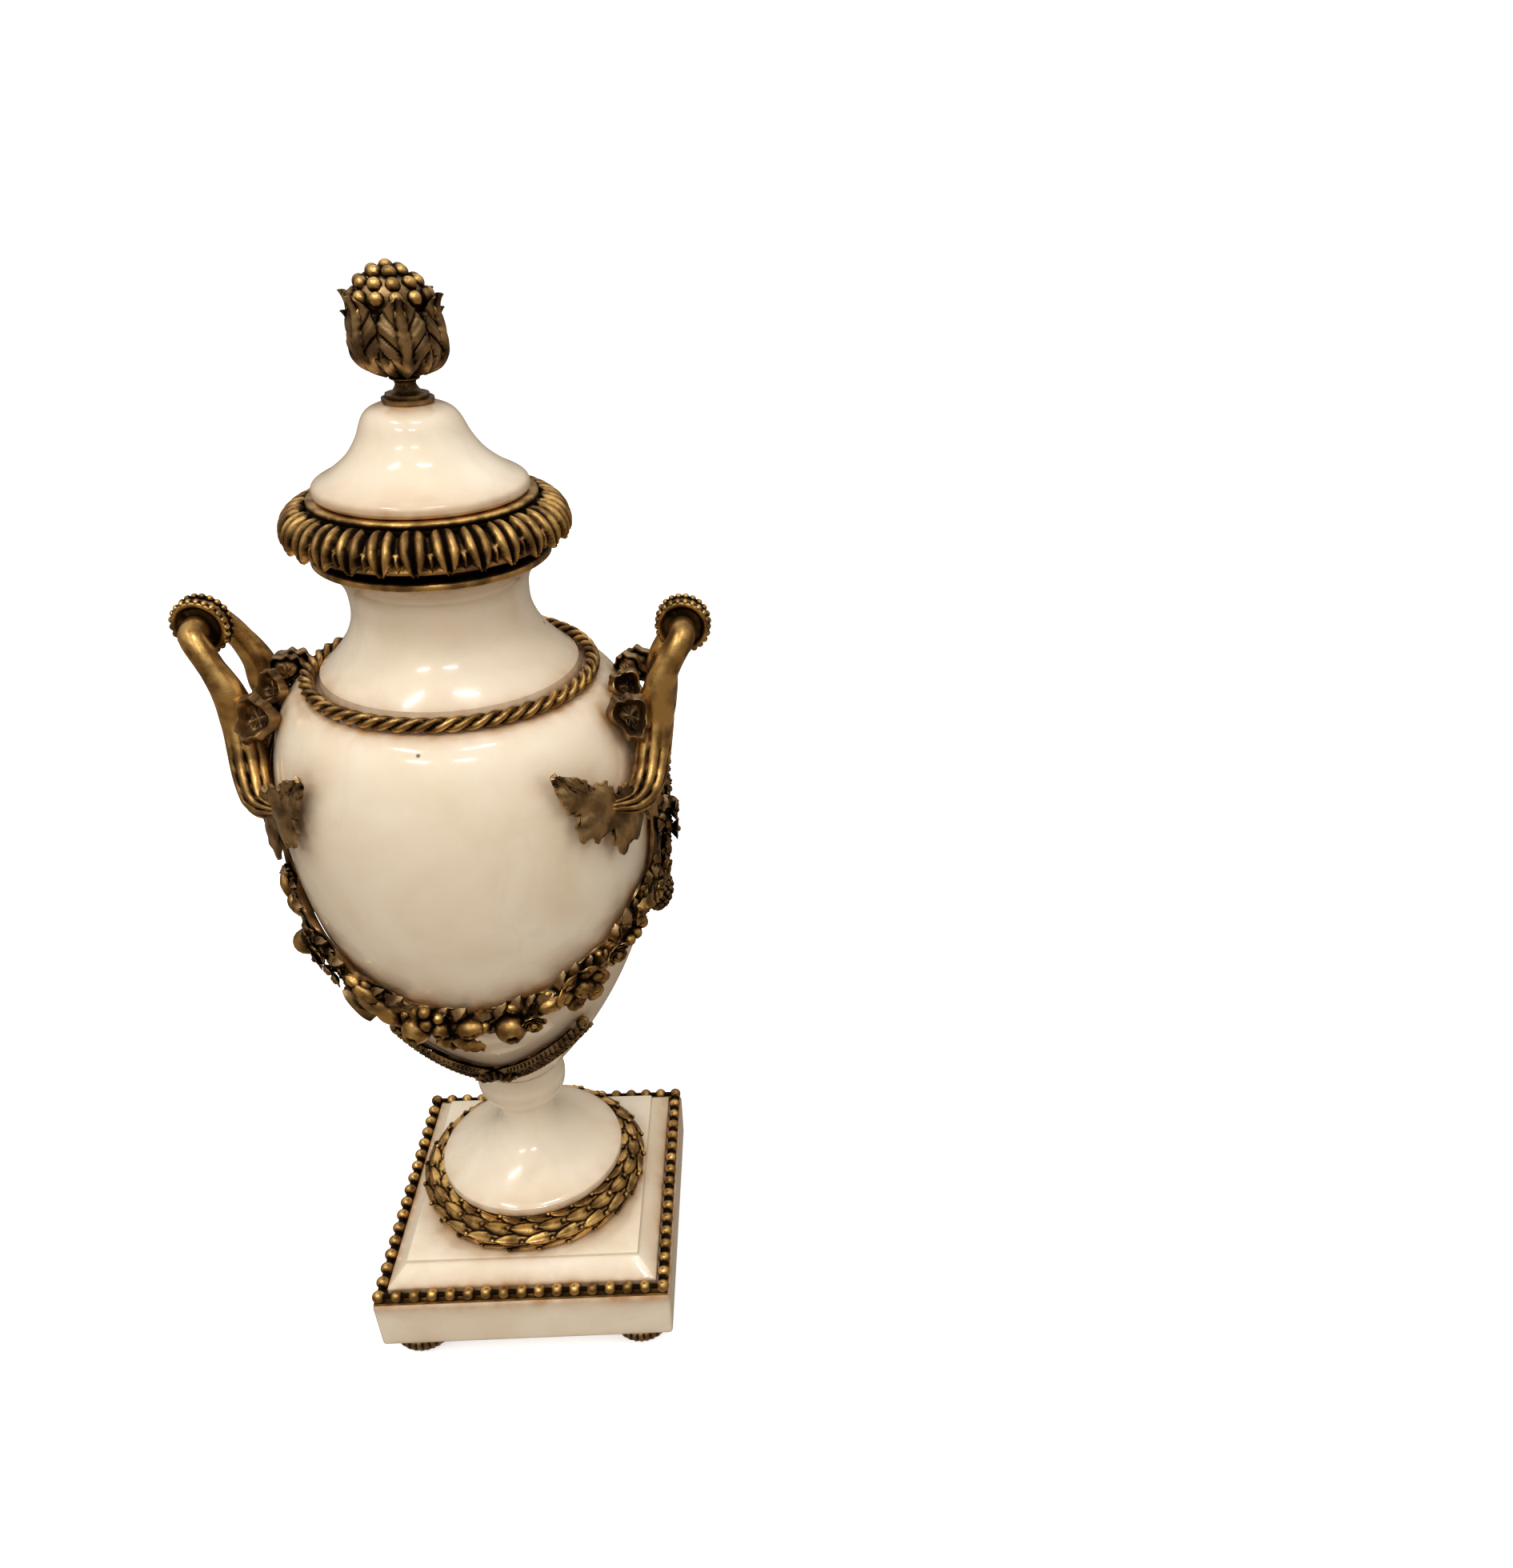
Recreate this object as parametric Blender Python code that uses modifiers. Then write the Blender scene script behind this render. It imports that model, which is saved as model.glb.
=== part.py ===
"""Mantel urn: a lidded marble vase on a square plinth, dressed with gilt bronze mounts.

Metres, +Z up. The origin is on the vase's axis, at the height that the feet stand on.
Angles are in degrees about the axis, from +X towards +Y, and the front faces -Y.
"""

import math

import bmesh
import bpy
from mathutils import Matrix, Vector

# Fits
GAP = 0.0003
MERGE = 0.00002
DRAPE_LIFT = 0.0006

# Plinth
FOOT_RADIUS = 0.0135
FOOT_PAD_RADIUS = 0.0085
FOOT_HEIGHT = 0.0117
FOOT_FLUTES = 8
FOOT_FLUTE_DEPTH = 0.0010
FOOT_INSET = 0.0145
BASE_HEIGHT = 0.0257
BASE_EDGE = 0.0016
BASE_MARGIN = 0.0002
BEAD_RADIUS = 0.0027
BEADS_PER_SIDE = 16
BEAD_STRIP_HEIGHT = 0.0010
SLAB_EDGE_HEIGHT = 0.0042
SLAB_BEVEL_RUN = 0.0078
SLAB_BEVEL_RISE = 0.0071
SLAB_STEP = 0.0018
SLAB_MARGIN = 0.0002

# Laurel wreath and pedestal
WREATH_MINOR = 0.0062
WREATH_ROWS = 24
WREATH_LEAF_DEPTH = 0.0006
SEAT_RADIUS = 0.0355
SEAT_CLEARANCE = 0.0005
DISC_RADIUS = 0.0396
DISC_CLEARANCE = 0.0009
DISC_EDGE_HEIGHT = 0.0050
BELL_HEIGHT = 0.0265
STEM_RADIUS = 0.0105
STEM_HEIGHT = 0.0055
KNOP_RADIUS = 0.0185
KNOP_CURVE_HEIGHT = 0.0110
KNOP_HEIGHT = 0.0105

# Body
BODY_HEIGHT = 0.1750
BELLY_RADIUS = 0.0662
BELLY_HEIGHT = 0.1285
BODY_WALL = 0.0080
BODY_FLOOR = 0.0180
BODY_MOUTH_RADIUS = 0.0300

# Rope ring and neck
ROPE_RADIUS = 0.0026
ROPE_TURNS = 52
ROPE_CLEARANCE = 0.0012
ROPE_MARGIN = 0.0006
NECK_HEIGHT = 0.0415
NECK_FOOT_RADIUS = 0.0438
NECK_FOOT_EDGE = 0.0042
NECK_WAIST_RADIUS = 0.0290
NECK_WAIST_HEIGHT = 0.0272
NECK_TOP_RADIUS = 0.0365
NECK_WALL = 0.0065

# Rim collar
COLLAR_HEIGHT = 0.0200
COLLAR_RADIUS = 0.0455
COLLAR_MINOR = 0.0085
COLLAR_BORE = 0.0290
COLLAR_LEAVES = 28
COLLAR_LEAF_DEPTH = 0.0013
COLLAR_FILLET = 0.0010
COLLAR_RIM_RADIUS = 0.0350
COLLAR_RIM_HEIGHT = 0.0035

# Lid and finial
LID_HEIGHT = 0.0263
LID_RADIUS = 0.0335
LID_UNDERCUT = 0.0006
LID_WALL = 0.0050
LID_LIP_DEPTH = 0.0040
LID_LIP_WALL = 0.0030
LID_LIP_CLEARANCE = 0.0006
LID_TOP_RADIUS = 0.0084
FINIAL_FOOT_RADIUS = 0.0077
FINIAL_FOOT_HEIGHT = 0.0030
FINIAL_NECK_RADIUS = 0.0036
FINIAL_STALK_HEIGHT = 0.0080
BUD_RADIUS = 0.0140
BUD_HEIGHT = 0.0210
BUD_MOUTH_RADIUS = 0.0122
BUD_LEAVES = 6
BUD_LEAF_DEPTH = 0.0009
BERRY_RADIUS = 0.0023
BERRY_DOME_HEIGHT = 0.0086

# Handles
ROUNDEL_REACH = 0.0138
ROUNDEL_RISE = 0.0180
ROUNDEL_RADIUS = 0.0096
ROUNDEL_THICKNESS = 0.0086
ROUNDEL_BEADS = 10
ROUNDEL_BEAD_DEPTH = 0.0005
ARM_RADIUS = 0.0045
SHEATH_RADIUS = 0.0054
ARM_SPREAD = 0.0148
LEAF_THICKNESS = 0.0016
LEAF_RIB = 0.0011
LEAF_LOW_WIDTH = 0.0150
LEAF_HIGH_WIDTH = 0.0060
LEAF_TIP_WIDTH = 0.0006
LEAF_TIP_ANGLE = -54.0
LEAF_TIP_DROP = 0.0145
LEAF_ROOT_DROP = 0.0150

# Swags, drops, bows and laurel sprays
SWAG_LOW_RISE = 0.0680
SWAG_RISE = 0.0500
SWAG_HALF_ANGLE = 77.0
SWAG_TOP_ANGLE = 82.0
SWAG_HALF_WIDTH = 0.0046
SWAG_PROUD = 0.0028
DROP_CLEARANCE = 0.0030
DROP_LENGTH = 0.0790
DROP_HALF_WIDTH = 0.0032
DROP_PROUD = 0.0024
DROP_FLOWER = 0.0040
BOW_DROP = 0.0105
BOW_HALF_ANGLE = 27.0
BOW_LIFT = 0.0040
BOW_WIDTH = 0.0070
BOW_THICKNESS = 0.0014
BOW_PLEAT = 0.0022
KNOT_HALF_WIDTH = 0.0042
SPRAY_LOW_RISE = 0.0245
SPRAY_RISE = 0.0210
SPRAY_HALF_ANGLE = 46.0
SPRAY_HALF_WIDTH = 0.0038
SPRAY_PROUD = 0.0020

# Facets
LARGE_STEPS = 20
SMALL_STEPS = 16
FOOT_STEPS = 2 * FOOT_FLUTES

# Heights of the stack, from the floor up
BASE_BOTTOM = FOOT_HEIGHT + GAP
BASE_TOP = BASE_BOTTOM + BASE_HEIGHT
SLAB_BOTTOM = BASE_TOP + GAP
SLAB_TOP = SLAB_BOTTOM + SLAB_EDGE_HEIGHT + SLAB_BEVEL_RISE + SLAB_STEP
WREATH_BOTTOM = SLAB_TOP + GAP
DISC_BOTTOM = WREATH_BOTTOM + 2 * WREATH_MINOR + DISC_CLEARANCE
DISC_TOP = DISC_BOTTOM + DISC_EDGE_HEIGHT
STEM_BOTTOM = DISC_TOP + BELL_HEIGHT
KNOP_BOTTOM = STEM_BOTTOM + STEM_HEIGHT
KNOP_TOP = KNOP_BOTTOM + KNOP_CURVE_HEIGHT + KNOP_HEIGHT
BODY_BOTTOM = KNOP_TOP + GAP
BODY_TOP = BODY_BOTTOM + BODY_HEIGHT
NECK_BOTTOM = BODY_TOP + GAP
NECK_TOP = NECK_BOTTOM + NECK_HEIGHT
COLLAR_BOTTOM = NECK_TOP + GAP
COLLAR_TOP = COLLAR_BOTTOM + COLLAR_HEIGHT
LID_BOTTOM = COLLAR_TOP + GAP
LID_TOP = LID_BOTTOM + LID_HEIGHT
FINIAL_BOTTOM = LID_TOP + GAP

# Radii and half widths that follow from a neighbour
WREATH_RADIUS = SEAT_RADIUS + SEAT_CLEARANCE + WREATH_MINOR
SLAB_TOP_HALF = WREATH_RADIUS + WREATH_MINOR + WREATH_LEAF_DEPTH + SLAB_MARGIN
SLAB_HALF = SLAB_TOP_HALF + SLAB_BEVEL_RUN
BORDER_HALF = SLAB_HALF + GAP + BEAD_RADIUS
BASE_HALF = BORDER_HALF + BEAD_RADIUS + BASE_MARGIN
ROPE_RING_RADIUS = NECK_FOOT_RADIUS + ROPE_CLEARANCE + ROPE_RADIUS
BODY_SEAT_RADIUS = ROPE_RING_RADIUS + ROPE_MARGIN

# Places of the mounts, which follow the body
ROUNDEL_DISTANCE = BELLY_RADIUS + ROUNDEL_REACH
ROUNDEL_HEIGHT = BODY_TOP + ROUNDEL_RISE
LEAF_TIP_HEIGHT = BODY_TOP - LEAF_TIP_DROP
LEAF_ROOT_HEIGHT = LEAF_TIP_HEIGHT - LEAF_ROOT_DROP
BOW_HEIGHT = BODY_TOP - BOW_DROP
DROP_TOP_HEIGHT = BOW_HEIGHT - BOW_WIDTH - DROP_CLEARANCE
DROP_BOTTOM_HEIGHT = DROP_TOP_HEIGHT - DROP_LENGTH
SWAG_LOW_HEIGHT = BODY_BOTTOM + SWAG_LOW_RISE
SWAG_TOP_HEIGHT = DROP_TOP_HEIGHT
SPRAY_LOW_HEIGHT = BODY_BOTTOM + SPRAY_LOW_RISE
SPRAY_TIP_HEIGHT = SPRAY_LOW_HEIGHT + SPRAY_RISE

# Tools that shape the pieces


def new_material(name, colour, roughness, metallic):
    material = bpy.data.materials.new(name)
    material.use_nodes = True
    shader = material.node_tree.nodes["Principled BSDF"]
    shader.inputs["Base Color"].default_value = (*colour, 1.0)
    shader.inputs["Roughness"].default_value = roughness
    shader.inputs["Metallic"].default_value = metallic
    return material


def add_piece(name, mesh, material):
    """Put a mesh in the urn's collection as a named piece, shaded smooth."""
    piece = bpy.data.objects.new(name, mesh)
    urn.objects.link(piece)
    mesh.materials.clear()
    mesh.materials.append(material)
    mesh.shade_smooth()
    mesh.set_sharp_from_angle(angle=math.radians(40))
    return piece


def turned(name, outline, steps, material, closed=False):
    """Turn an outline of (radius, height) pairs, which runs down the outer side."""
    mesh = bpy.data.meshes.new(name)
    points = [(radius, 0, height) for radius, height in outline]
    edges = [(i, i + 1) for i in range(len(points) - 1)]
    if closed:
        edges.append((len(points) - 1, 0))
    mesh.from_pydata(points, edges, [])
    piece = add_piece(name, mesh, material)
    turning = piece.modifiers.new("turning", "SCREW")
    turning.steps = steps
    turning.render_steps = steps
    turning.use_merge_vertices = True
    turning.merge_threshold = MERGE
    return piece


def bake(piece):
    """Give the piece the mesh that its modifiers make."""
    depsgraph = bpy.context.evaluated_depsgraph_get()
    mesh = bpy.data.meshes.new_from_object(piece.evaluated_get(depsgraph))
    piece.modifiers.clear()
    piece.data = mesh


def carve(piece, radial_move):
    """Move a turned piece's points in or out by radial_move(radius, angle, height)."""
    bake(piece)
    for vertex in piece.data.vertices:
        x, y, z = vertex.co
        radius = math.hypot(x, y)
        if radius > MERGE:
            scale = 1 + radial_move(radius, math.atan2(y, x), z) / radius
            vertex.co = (x * scale, y * scale, z)


def smooth_curve(points, steps):
    """Run a smooth curve through the points, with the given steps between neighbours."""
    points = [Vector(point) for point in points]
    ends = [2 * points[0] - points[1], *points, 2 * points[-1] - points[-2]]
    curve = []
    for i in range(len(points) - 1):
        before, start, end, after = ends[i:i + 4]
        for step in range(steps):
            t = step / steps
            curve.append(0.5 * (2 * start + (end - before) * t
                                + (2 * before - 5 * start + 4 * end - after) * t ** 2
                                + (3 * start - before - 3 * end + after) * t ** 3))
    curve.append(points[-1])
    return curve


def loft(name, rings, material, closed=False, twist=0):
    """Skin equal rings of points. A closed loft joins its last ring to its first."""
    form = bmesh.new()
    grid = [[form.verts.new(point) for point in ring] for ring in rings]
    count = len(rings[0])
    for i in range(len(grid) if closed else len(grid) - 1):
        ring, following = grid[i], grid[(i + 1) % len(grid)]
        for k in range(count):
            onward = (k + 1) % count
            form.faces.new((ring[k], ring[onward],
                            following[(onward + twist) % count], following[(k + twist) % count]))
    if not closed:
        form.faces.new(grid[0])
        form.faces.new(reversed(grid[-1]))
    bmesh.ops.triangulate(form, faces=form.faces)
    bmesh.ops.recalc_face_normals(form, faces=form.faces)
    mesh = bpy.data.meshes.new(name)
    form.to_mesh(mesh)
    form.free()
    return add_piece(name, mesh, material)


def fuse(first, others):
    """Unite overlapping pieces into the first one, as a single closed body."""
    for other in others:
        urn.objects.unlink(other)
        cutters.objects.link(other)
    union = first.modifiers.new("union", "BOOLEAN")
    union.operation = "UNION"
    union.solver = "EXACT"
    union.operand_type = "COLLECTION"
    union.collection = cutters
    bake(first)
    for other in others:
        bpy.data.objects.remove(other)
    return first


def ball(name, centre, radii, turn, material):
    """A faceted berry, fruit or bud: a small icosahedron stretched to its radii."""
    form = bmesh.new()
    bmesh.ops.create_icosphere(form, subdivisions=1, radius=1.0)
    place = Matrix.Translation(centre) @ turn.to_4x4() @ Matrix.Diagonal((*radii, 1.0))
    bmesh.ops.transform(form, matrix=place, verts=form.verts)
    mesh = bpy.data.meshes.new(name)
    form.to_mesh(mesh)
    form.free()
    return add_piece(name, mesh, material)


def half_turned(piece, name):
    """A copy of a finished piece, turned half way round the urn's axis."""
    mesh = piece.data.copy()
    mesh.transform(Matrix.Rotation(math.pi, 4, "Z"))
    return add_piece(name, mesh, piece.data.materials[0])


# The body's outer surface, which the mounts follow


def body_radius(height):
    """Outer radius: an elliptic shoulder above the belly and a long taper below it."""
    belly = BODY_BOTTOM + BELLY_HEIGHT
    if height >= belly:
        share = min((height - belly) / (BODY_TOP - belly), 1.0)
        return BODY_SEAT_RADIUS + (BELLY_RADIUS - BODY_SEAT_RADIUS) * math.sqrt(1 - share ** 2)
    share = min((belly - height) / BELLY_HEIGHT, 1.0)
    return KNOP_RADIUS + (BELLY_RADIUS - KNOP_RADIUS) * (1 - share ** 2.12)


def body_slope(height):
    """How fast the outer radius grows with height."""
    nudge = 0.0005
    return (body_radius(height + nudge) - body_radius(height - nudge)) / (2 * nudge)


def on_body(angle, height, proud):
    """Where a point lies at an angle and height, and how far it stands off the marble."""
    slope = body_slope(height)
    length = math.hypot(1, slope)
    radius = body_radius(height) + proud / length
    turn = math.radians(angle)
    return Vector((radius * math.cos(turn), radius * math.sin(turn), height - proud * slope / length))


def surface_turn(angle, height):
    """Axes of the surface: out of the marble, round it and up it."""
    out = on_body(angle, height, 0.001) - on_body(angle, height, 0.0)
    out.normalize()
    turn = math.radians(angle)
    along = Vector((-math.sin(turn), math.cos(turn), 0.0))
    up = out.cross(along)
    return Matrix((out, along, up)).transposed()


def stem_on_body(name, route, half_widths, proud, sides, material):
    """A lumpy branch laid on the marble along (angle, height) points."""
    rings = []
    lift = proud + GAP
    for i, (angle, height) in enumerate(route):
        centre = on_body(angle, height, lift)
        ahead = on_body(*route[min(i + 1, len(route) - 1)], lift)
        behind = on_body(*route[max(i - 1, 0)], lift)
        along = (ahead - behind).normalized()
        across = along.cross(surface_turn(angle, height).col[0]).normalized()
        out = across.cross(along).normalized()
        ring = []
        for k in range(sides):
            turn = 2 * math.pi * (k + 0.5) / sides
            ring.append(centre + half_widths[i] * math.cos(turn) * across + proud * math.sin(turn) * out)
        rings.append(ring)
    return loft(name, rings, material)


def draped(name, spine, low_width, high_width, rise, rows, thickness, material):
    """A cast leaf or ribbon that lies on the marble, on both sides of a spine of (angle, height)."""
    columns = len(spine)
    form = bmesh.new()
    grid = []
    for i, (angle, height) in enumerate(spine):
        share = i / (columns - 1)
        ahead = spine[min(i + 1, columns - 1)]
        behind = spine[max(i - 1, 0)]
        radius = body_radius(height)
        run = math.radians(ahead[0] - behind[0]) * radius
        lean = math.hypot(1, body_slope(height))
        climb = (ahead[1] - behind[1]) * lean
        length = math.hypot(run, climb)
        row = []
        for j in range(rows + 1):
            side = 2 * j / rows - 1
            width = side * (high_width(share) if side > 0 else low_width(share))
            turned_by = math.degrees(width * climb / length / radius)
            lowered_by = width * run / length / lean
            row.append(form.verts.new(on_body(angle + turned_by, height - lowered_by,
                                              GAP + DRAPE_LIFT + rise(share, side))))
        grid.append(row)
    for i in range(columns - 1):
        for j in range(rows):
            form.faces.new((grid[i][j], grid[i][j + 1], grid[i + 1][j + 1], grid[i + 1][j]))
    mesh = bpy.data.meshes.new(name)
    form.normal_update()
    form.faces.ensure_lookup_table()
    middle = form.faces[len(form.faces) // 2]
    if middle.normal.dot(middle.calc_center_median()) < 0:
        bmesh.ops.reverse_faces(form, faces=form.faces)
    form.to_mesh(mesh)
    form.free()
    piece = add_piece(name, mesh, material)
    casting = piece.modifiers.new("casting", "SOLIDIFY")
    casting.thickness = thickness
    casting.offset = 1.0
    bake(piece)
    return piece


# Plinth: feet, lower slab, bead border and upper slab


def make_feet():
    outline = [(0, FOOT_HEIGHT),
               (FOOT_RADIUS * 0.93, FOOT_HEIGHT),
               (FOOT_RADIUS - FOOT_FLUTE_DEPTH, FOOT_HEIGHT * 0.72),
               ((FOOT_RADIUS + FOOT_PAD_RADIUS) / 2, FOOT_HEIGHT * 0.22),
               (FOOT_PAD_RADIUS, 0),
               (0, 0)]

    def flutes(radius, angle, height):
        if not MERGE < height < FOOT_HEIGHT - MERGE:
            return 0.0
        return FOOT_FLUTE_DEPTH * math.cos(FOOT_FLUTES * angle)

    place = BASE_HALF - FOOT_INSET
    for number, (x, y) in enumerate(((-1, -1), (1, -1), (1, 1), (-1, 1)), start=1):
        foot = turned(f"bun_foot_{number}", outline, FOOT_STEPS, dark_bronze)
        carve(foot, flutes)
        foot.location = (x * place, y * place, 0)


def make_base():
    form = bmesh.new()
    bmesh.ops.create_cube(form, size=1.0)
    bmesh.ops.scale(form, verts=form.verts, vec=(2 * BASE_HALF, 2 * BASE_HALF, BASE_HEIGHT))
    bmesh.ops.translate(form, verts=form.verts, vec=(0, 0, BASE_BOTTOM + BASE_HEIGHT / 2))
    mesh = bpy.data.meshes.new("plinth_base")
    form.to_mesh(mesh)
    form.free()
    base = add_piece("plinth_base", mesh, marble)
    edges = base.modifiers.new("worn edges", "BEVEL")
    edges.width = BASE_EDGE
    edges.segments = 1


def make_slab():
    """The upper slab: an upright edge, a broad bevel and a low step under the flat top."""
    levels = [(SLAB_HALF, SLAB_BOTTOM),
              (SLAB_HALF, SLAB_BOTTOM + SLAB_EDGE_HEIGHT),
              (SLAB_TOP_HALF, SLAB_TOP - SLAB_STEP),
              (SLAB_TOP_HALF, SLAB_TOP)]
    corners = ((-1, -1), (1, -1), (1, 1), (-1, 1))
    rings = []
    for half, height in levels:
        rings.append([(x * half, y * half, height) for x, y in corners])
    loft("plinth_top", rings, marble)


def make_bead_border():
    """A strip of beads round the upper slab: a full ring at each bead and a thin one between."""
    rings = []
    corners = [Vector((x * BORDER_HALF, y * BORDER_HALF, BASE_TOP + GAP)) for x, y in
               ((-1, -1), (1, -1), (1, 1), (-1, 1))]
    for side in range(4):
        start, end = corners[side], corners[(side + 1) % 4]
        outward = Vector((end.y - start.y, start.x - end.x, 0)).normalized()
        for step in range(2 * BEADS_PER_SIDE):
            centre = start.lerp(end, step / (2 * BEADS_PER_SIDE))
            across = outward
            if step == 0:
                across = Vector((start.x, start.y, 0)).normalized()
            size = BEAD_RADIUS if step % 2 == 0 else BEAD_RADIUS * 0.45
            middle = BEAD_STRIP_HEIGHT + BEAD_RADIUS * (1.15 if step % 2 == 0 else 0.40)
            strip = BEAD_RADIUS * 0.8
            section = [(strip, 0), (size, middle + size * 0.3), (-size, middle + size * 0.3), (-strip, 0)]
            rings.append([centre + across * out + Vector((0, 0, up)) for out, up in section])
    loft("bead_border", rings, gilt_bronze, closed=True)


# Laurel wreath and the marble pedestal that it circles


def make_wreath():
    sides = 5
    rings = []
    for i in range(2 * WREATH_ROWS):
        turn = math.pi * i / WREATH_ROWS
        out = Vector((math.cos(turn), math.sin(turn), 0))
        ring = []
        for k in range(sides):
            around = 2 * math.pi * (k + 0.25) / sides
            lump = WREATH_LEAF_DEPTH * (1 if (i + k) % 2 == 0 else -1)
            if math.sin(around) < 0:
                lump = 0.0
            reach = WREATH_MINOR + lump if math.cos(around) > 0 else WREATH_MINOR
            across = reach * math.cos(around)
            height = WREATH_MINOR + reach * math.sin(around) / math.cos(math.pi / sides)
            if math.sin(around) < -0.9:
                height = 0.0
            ring.append(out * (WREATH_RADIUS + across) + Vector((0, 0, WREATH_BOTTOM + height)))
        rings.append(ring)
    loft("laurel_wreath", rings, gilt_bronze, closed=True)


def make_pedestal():
    """Foot disc, concave bell, stem and knop, turned in one with the seat in the wreath."""
    outline = [(0, KNOP_TOP), (KNOP_RADIUS, KNOP_TOP)]
    outline.append((KNOP_RADIUS * 0.985, KNOP_TOP - KNOP_HEIGHT * 0.6))
    for share in (0.0, 0.5, 0.9):
        swell = math.sqrt(1 - share ** 2)
        outline.append((STEM_RADIUS + (KNOP_RADIUS - STEM_RADIUS) * swell,
                        KNOP_TOP - KNOP_HEIGHT - share * KNOP_CURVE_HEIGHT))
    for share in (0.0, 0.40, 0.75, 1.0):
        outline.append((STEM_RADIUS + (DISC_RADIUS - STEM_RADIUS) * share ** 2.3 * 0.97,
                        STEM_BOTTOM - share * BELL_HEIGHT))
    outline += [(DISC_RADIUS, DISC_TOP - DISC_EDGE_HEIGHT * 0.4),
                (DISC_RADIUS * 0.985, DISC_BOTTOM),
                (SEAT_RADIUS, DISC_BOTTOM),
                (SEAT_RADIUS, SLAB_TOP + GAP),
                (0, SLAB_TOP + GAP)]
    turned("pedestal", outline, SMALL_STEPS, marble)


# The hollow body, the rope ring on its shoulder and the hollow neck


def make_body():
    belly = BODY_BOTTOM + BELLY_HEIGHT
    heights = [BODY_TOP]
    heights += [belly + (BODY_TOP - belly) * math.cos(math.radians(turn)) for turn in (18, 36, 54, 72)]
    heights += [belly - BELLY_HEIGHT * share for share in (0.0, 0.22, 0.44, 0.64, 0.83, 1.0)]
    outline = [(body_radius(height), height) for height in heights]
    floor = BODY_BOTTOM + BODY_FLOOR
    inner = [(0, BODY_BOTTOM)]
    inner.append((0, floor))
    for share in (0.12, 0.5, 0.85):
        height = floor + (BODY_TOP - BODY_WALL - floor) * share
        inner.append((body_radius(height) - BODY_WALL, height))
    inner.append((BODY_MOUTH_RADIUS, BODY_TOP - BODY_WALL))
    inner.append((BODY_MOUTH_RADIUS, BODY_TOP))
    turned("urn_body", outline + inner, LARGE_STEPS, marble, closed=True)


def make_rope():
    """A twisted bar bent round the neck's foot, one twist for each strand that shows."""
    sides = 4
    rings = []
    for i in range(ROPE_TURNS):
        turn = 2 * math.pi * i / ROPE_TURNS
        out = Vector((math.cos(turn), math.sin(turn), 0))
        ring = []
        for k in range(sides):
            around = 2 * math.pi * k / sides
            ring.append(out * (ROPE_RING_RADIUS + ROPE_RADIUS * math.cos(around))
                        + Vector((0, 0, BODY_TOP + GAP + ROPE_RADIUS * (1 + math.sin(around)))))
        rings.append(ring)
    loft("rope_ring", rings, gilt_bronze, closed=True, twist=1)


def make_neck():
    foot_top = NECK_BOTTOM + NECK_FOOT_EDGE
    waist = NECK_BOTTOM + NECK_WAIST_HEIGHT
    outline = []
    for share in (1.0, 0.8, 0.5):
        outline.append((NECK_WAIST_RADIUS + (NECK_TOP_RADIUS - NECK_WAIST_RADIUS) * share ** 3.2,
                        waist + (NECK_TOP - waist) * share))
    for share in (0.0, 0.45, 0.75, 1.0):
        outline.append((NECK_WAIST_RADIUS + (NECK_FOOT_RADIUS - NECK_WAIST_RADIUS) * share ** 1.95,
                        waist + (foot_top - waist) * share))
    outline += [(NECK_FOOT_RADIUS, NECK_BOTTOM),
                (BODY_MOUTH_RADIUS, NECK_BOTTOM),
                (NECK_WAIST_RADIUS - NECK_WALL, waist),
                (COLLAR_BORE, NECK_TOP)]
    turned("neck", outline, SMALL_STEPS, marble, closed=True)


# Rim collar, lid and finial


def make_collar():
    """A bronze collar: a torus of leaves between a lower fillet and the rim that takes the lid."""
    middle = COLLAR_BOTTOM + COLLAR_HEIGHT / 2
    centre = COLLAR_RADIUS - COLLAR_MINOR
    rings = []
    for i in range(2 * COLLAR_LEAVES):
        turn = math.pi * i / COLLAR_LEAVES
        out = Vector((math.cos(turn), math.sin(turn), 0))
        groove = COLLAR_LEAF_DEPTH if i % 2 else 0.0
        section = [(COLLAR_BORE, COLLAR_BOTTOM), (NECK_TOP_RADIUS + COLLAR_FILLET, COLLAR_BOTTOM)]
        for around, depth in ((-45, 1.0), (5, 0.7)):
            reach = COLLAR_MINOR - groove * depth
            section.append((centre + reach * math.cos(math.radians(around)),
                            middle + reach * math.sin(math.radians(around))))
        section += [(COLLAR_RIM_RADIUS, COLLAR_TOP - COLLAR_RIM_HEIGHT),
                    (COLLAR_RIM_RADIUS, COLLAR_TOP),
                    (COLLAR_BORE, COLLAR_TOP)]
        rings.append([out * radius + Vector((0, 0, height)) for radius, height in section])
    loft("rim_collar", rings, gilt_bronze, closed=True)


def lid_radius(share):
    """Outer radius of the lid: a flared edge, a hollow and a domed crown, by share of its height."""
    edge = LID_RADIUS - LID_TOP_RADIUS
    shape = smooth_curve(((0.0, 1.00, 0), (0.14, 0.965, 0), (0.25, 0.76, 0), (0.42, 0.53, 0),
                          (0.62, 0.37, 0), (0.84, 0.26, 0), (0.94, 0.16, 0), (1.0, 0.0, 0)), 6)
    for before, after in zip(shape, shape[1:]):
        if before.x <= share <= after.x:
            blend = (share - before.x) / (after.x - before.x)
            return LID_TOP_RADIUS + edge * (before.y + (after.y - before.y) * blend)
    return LID_TOP_RADIUS


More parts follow.
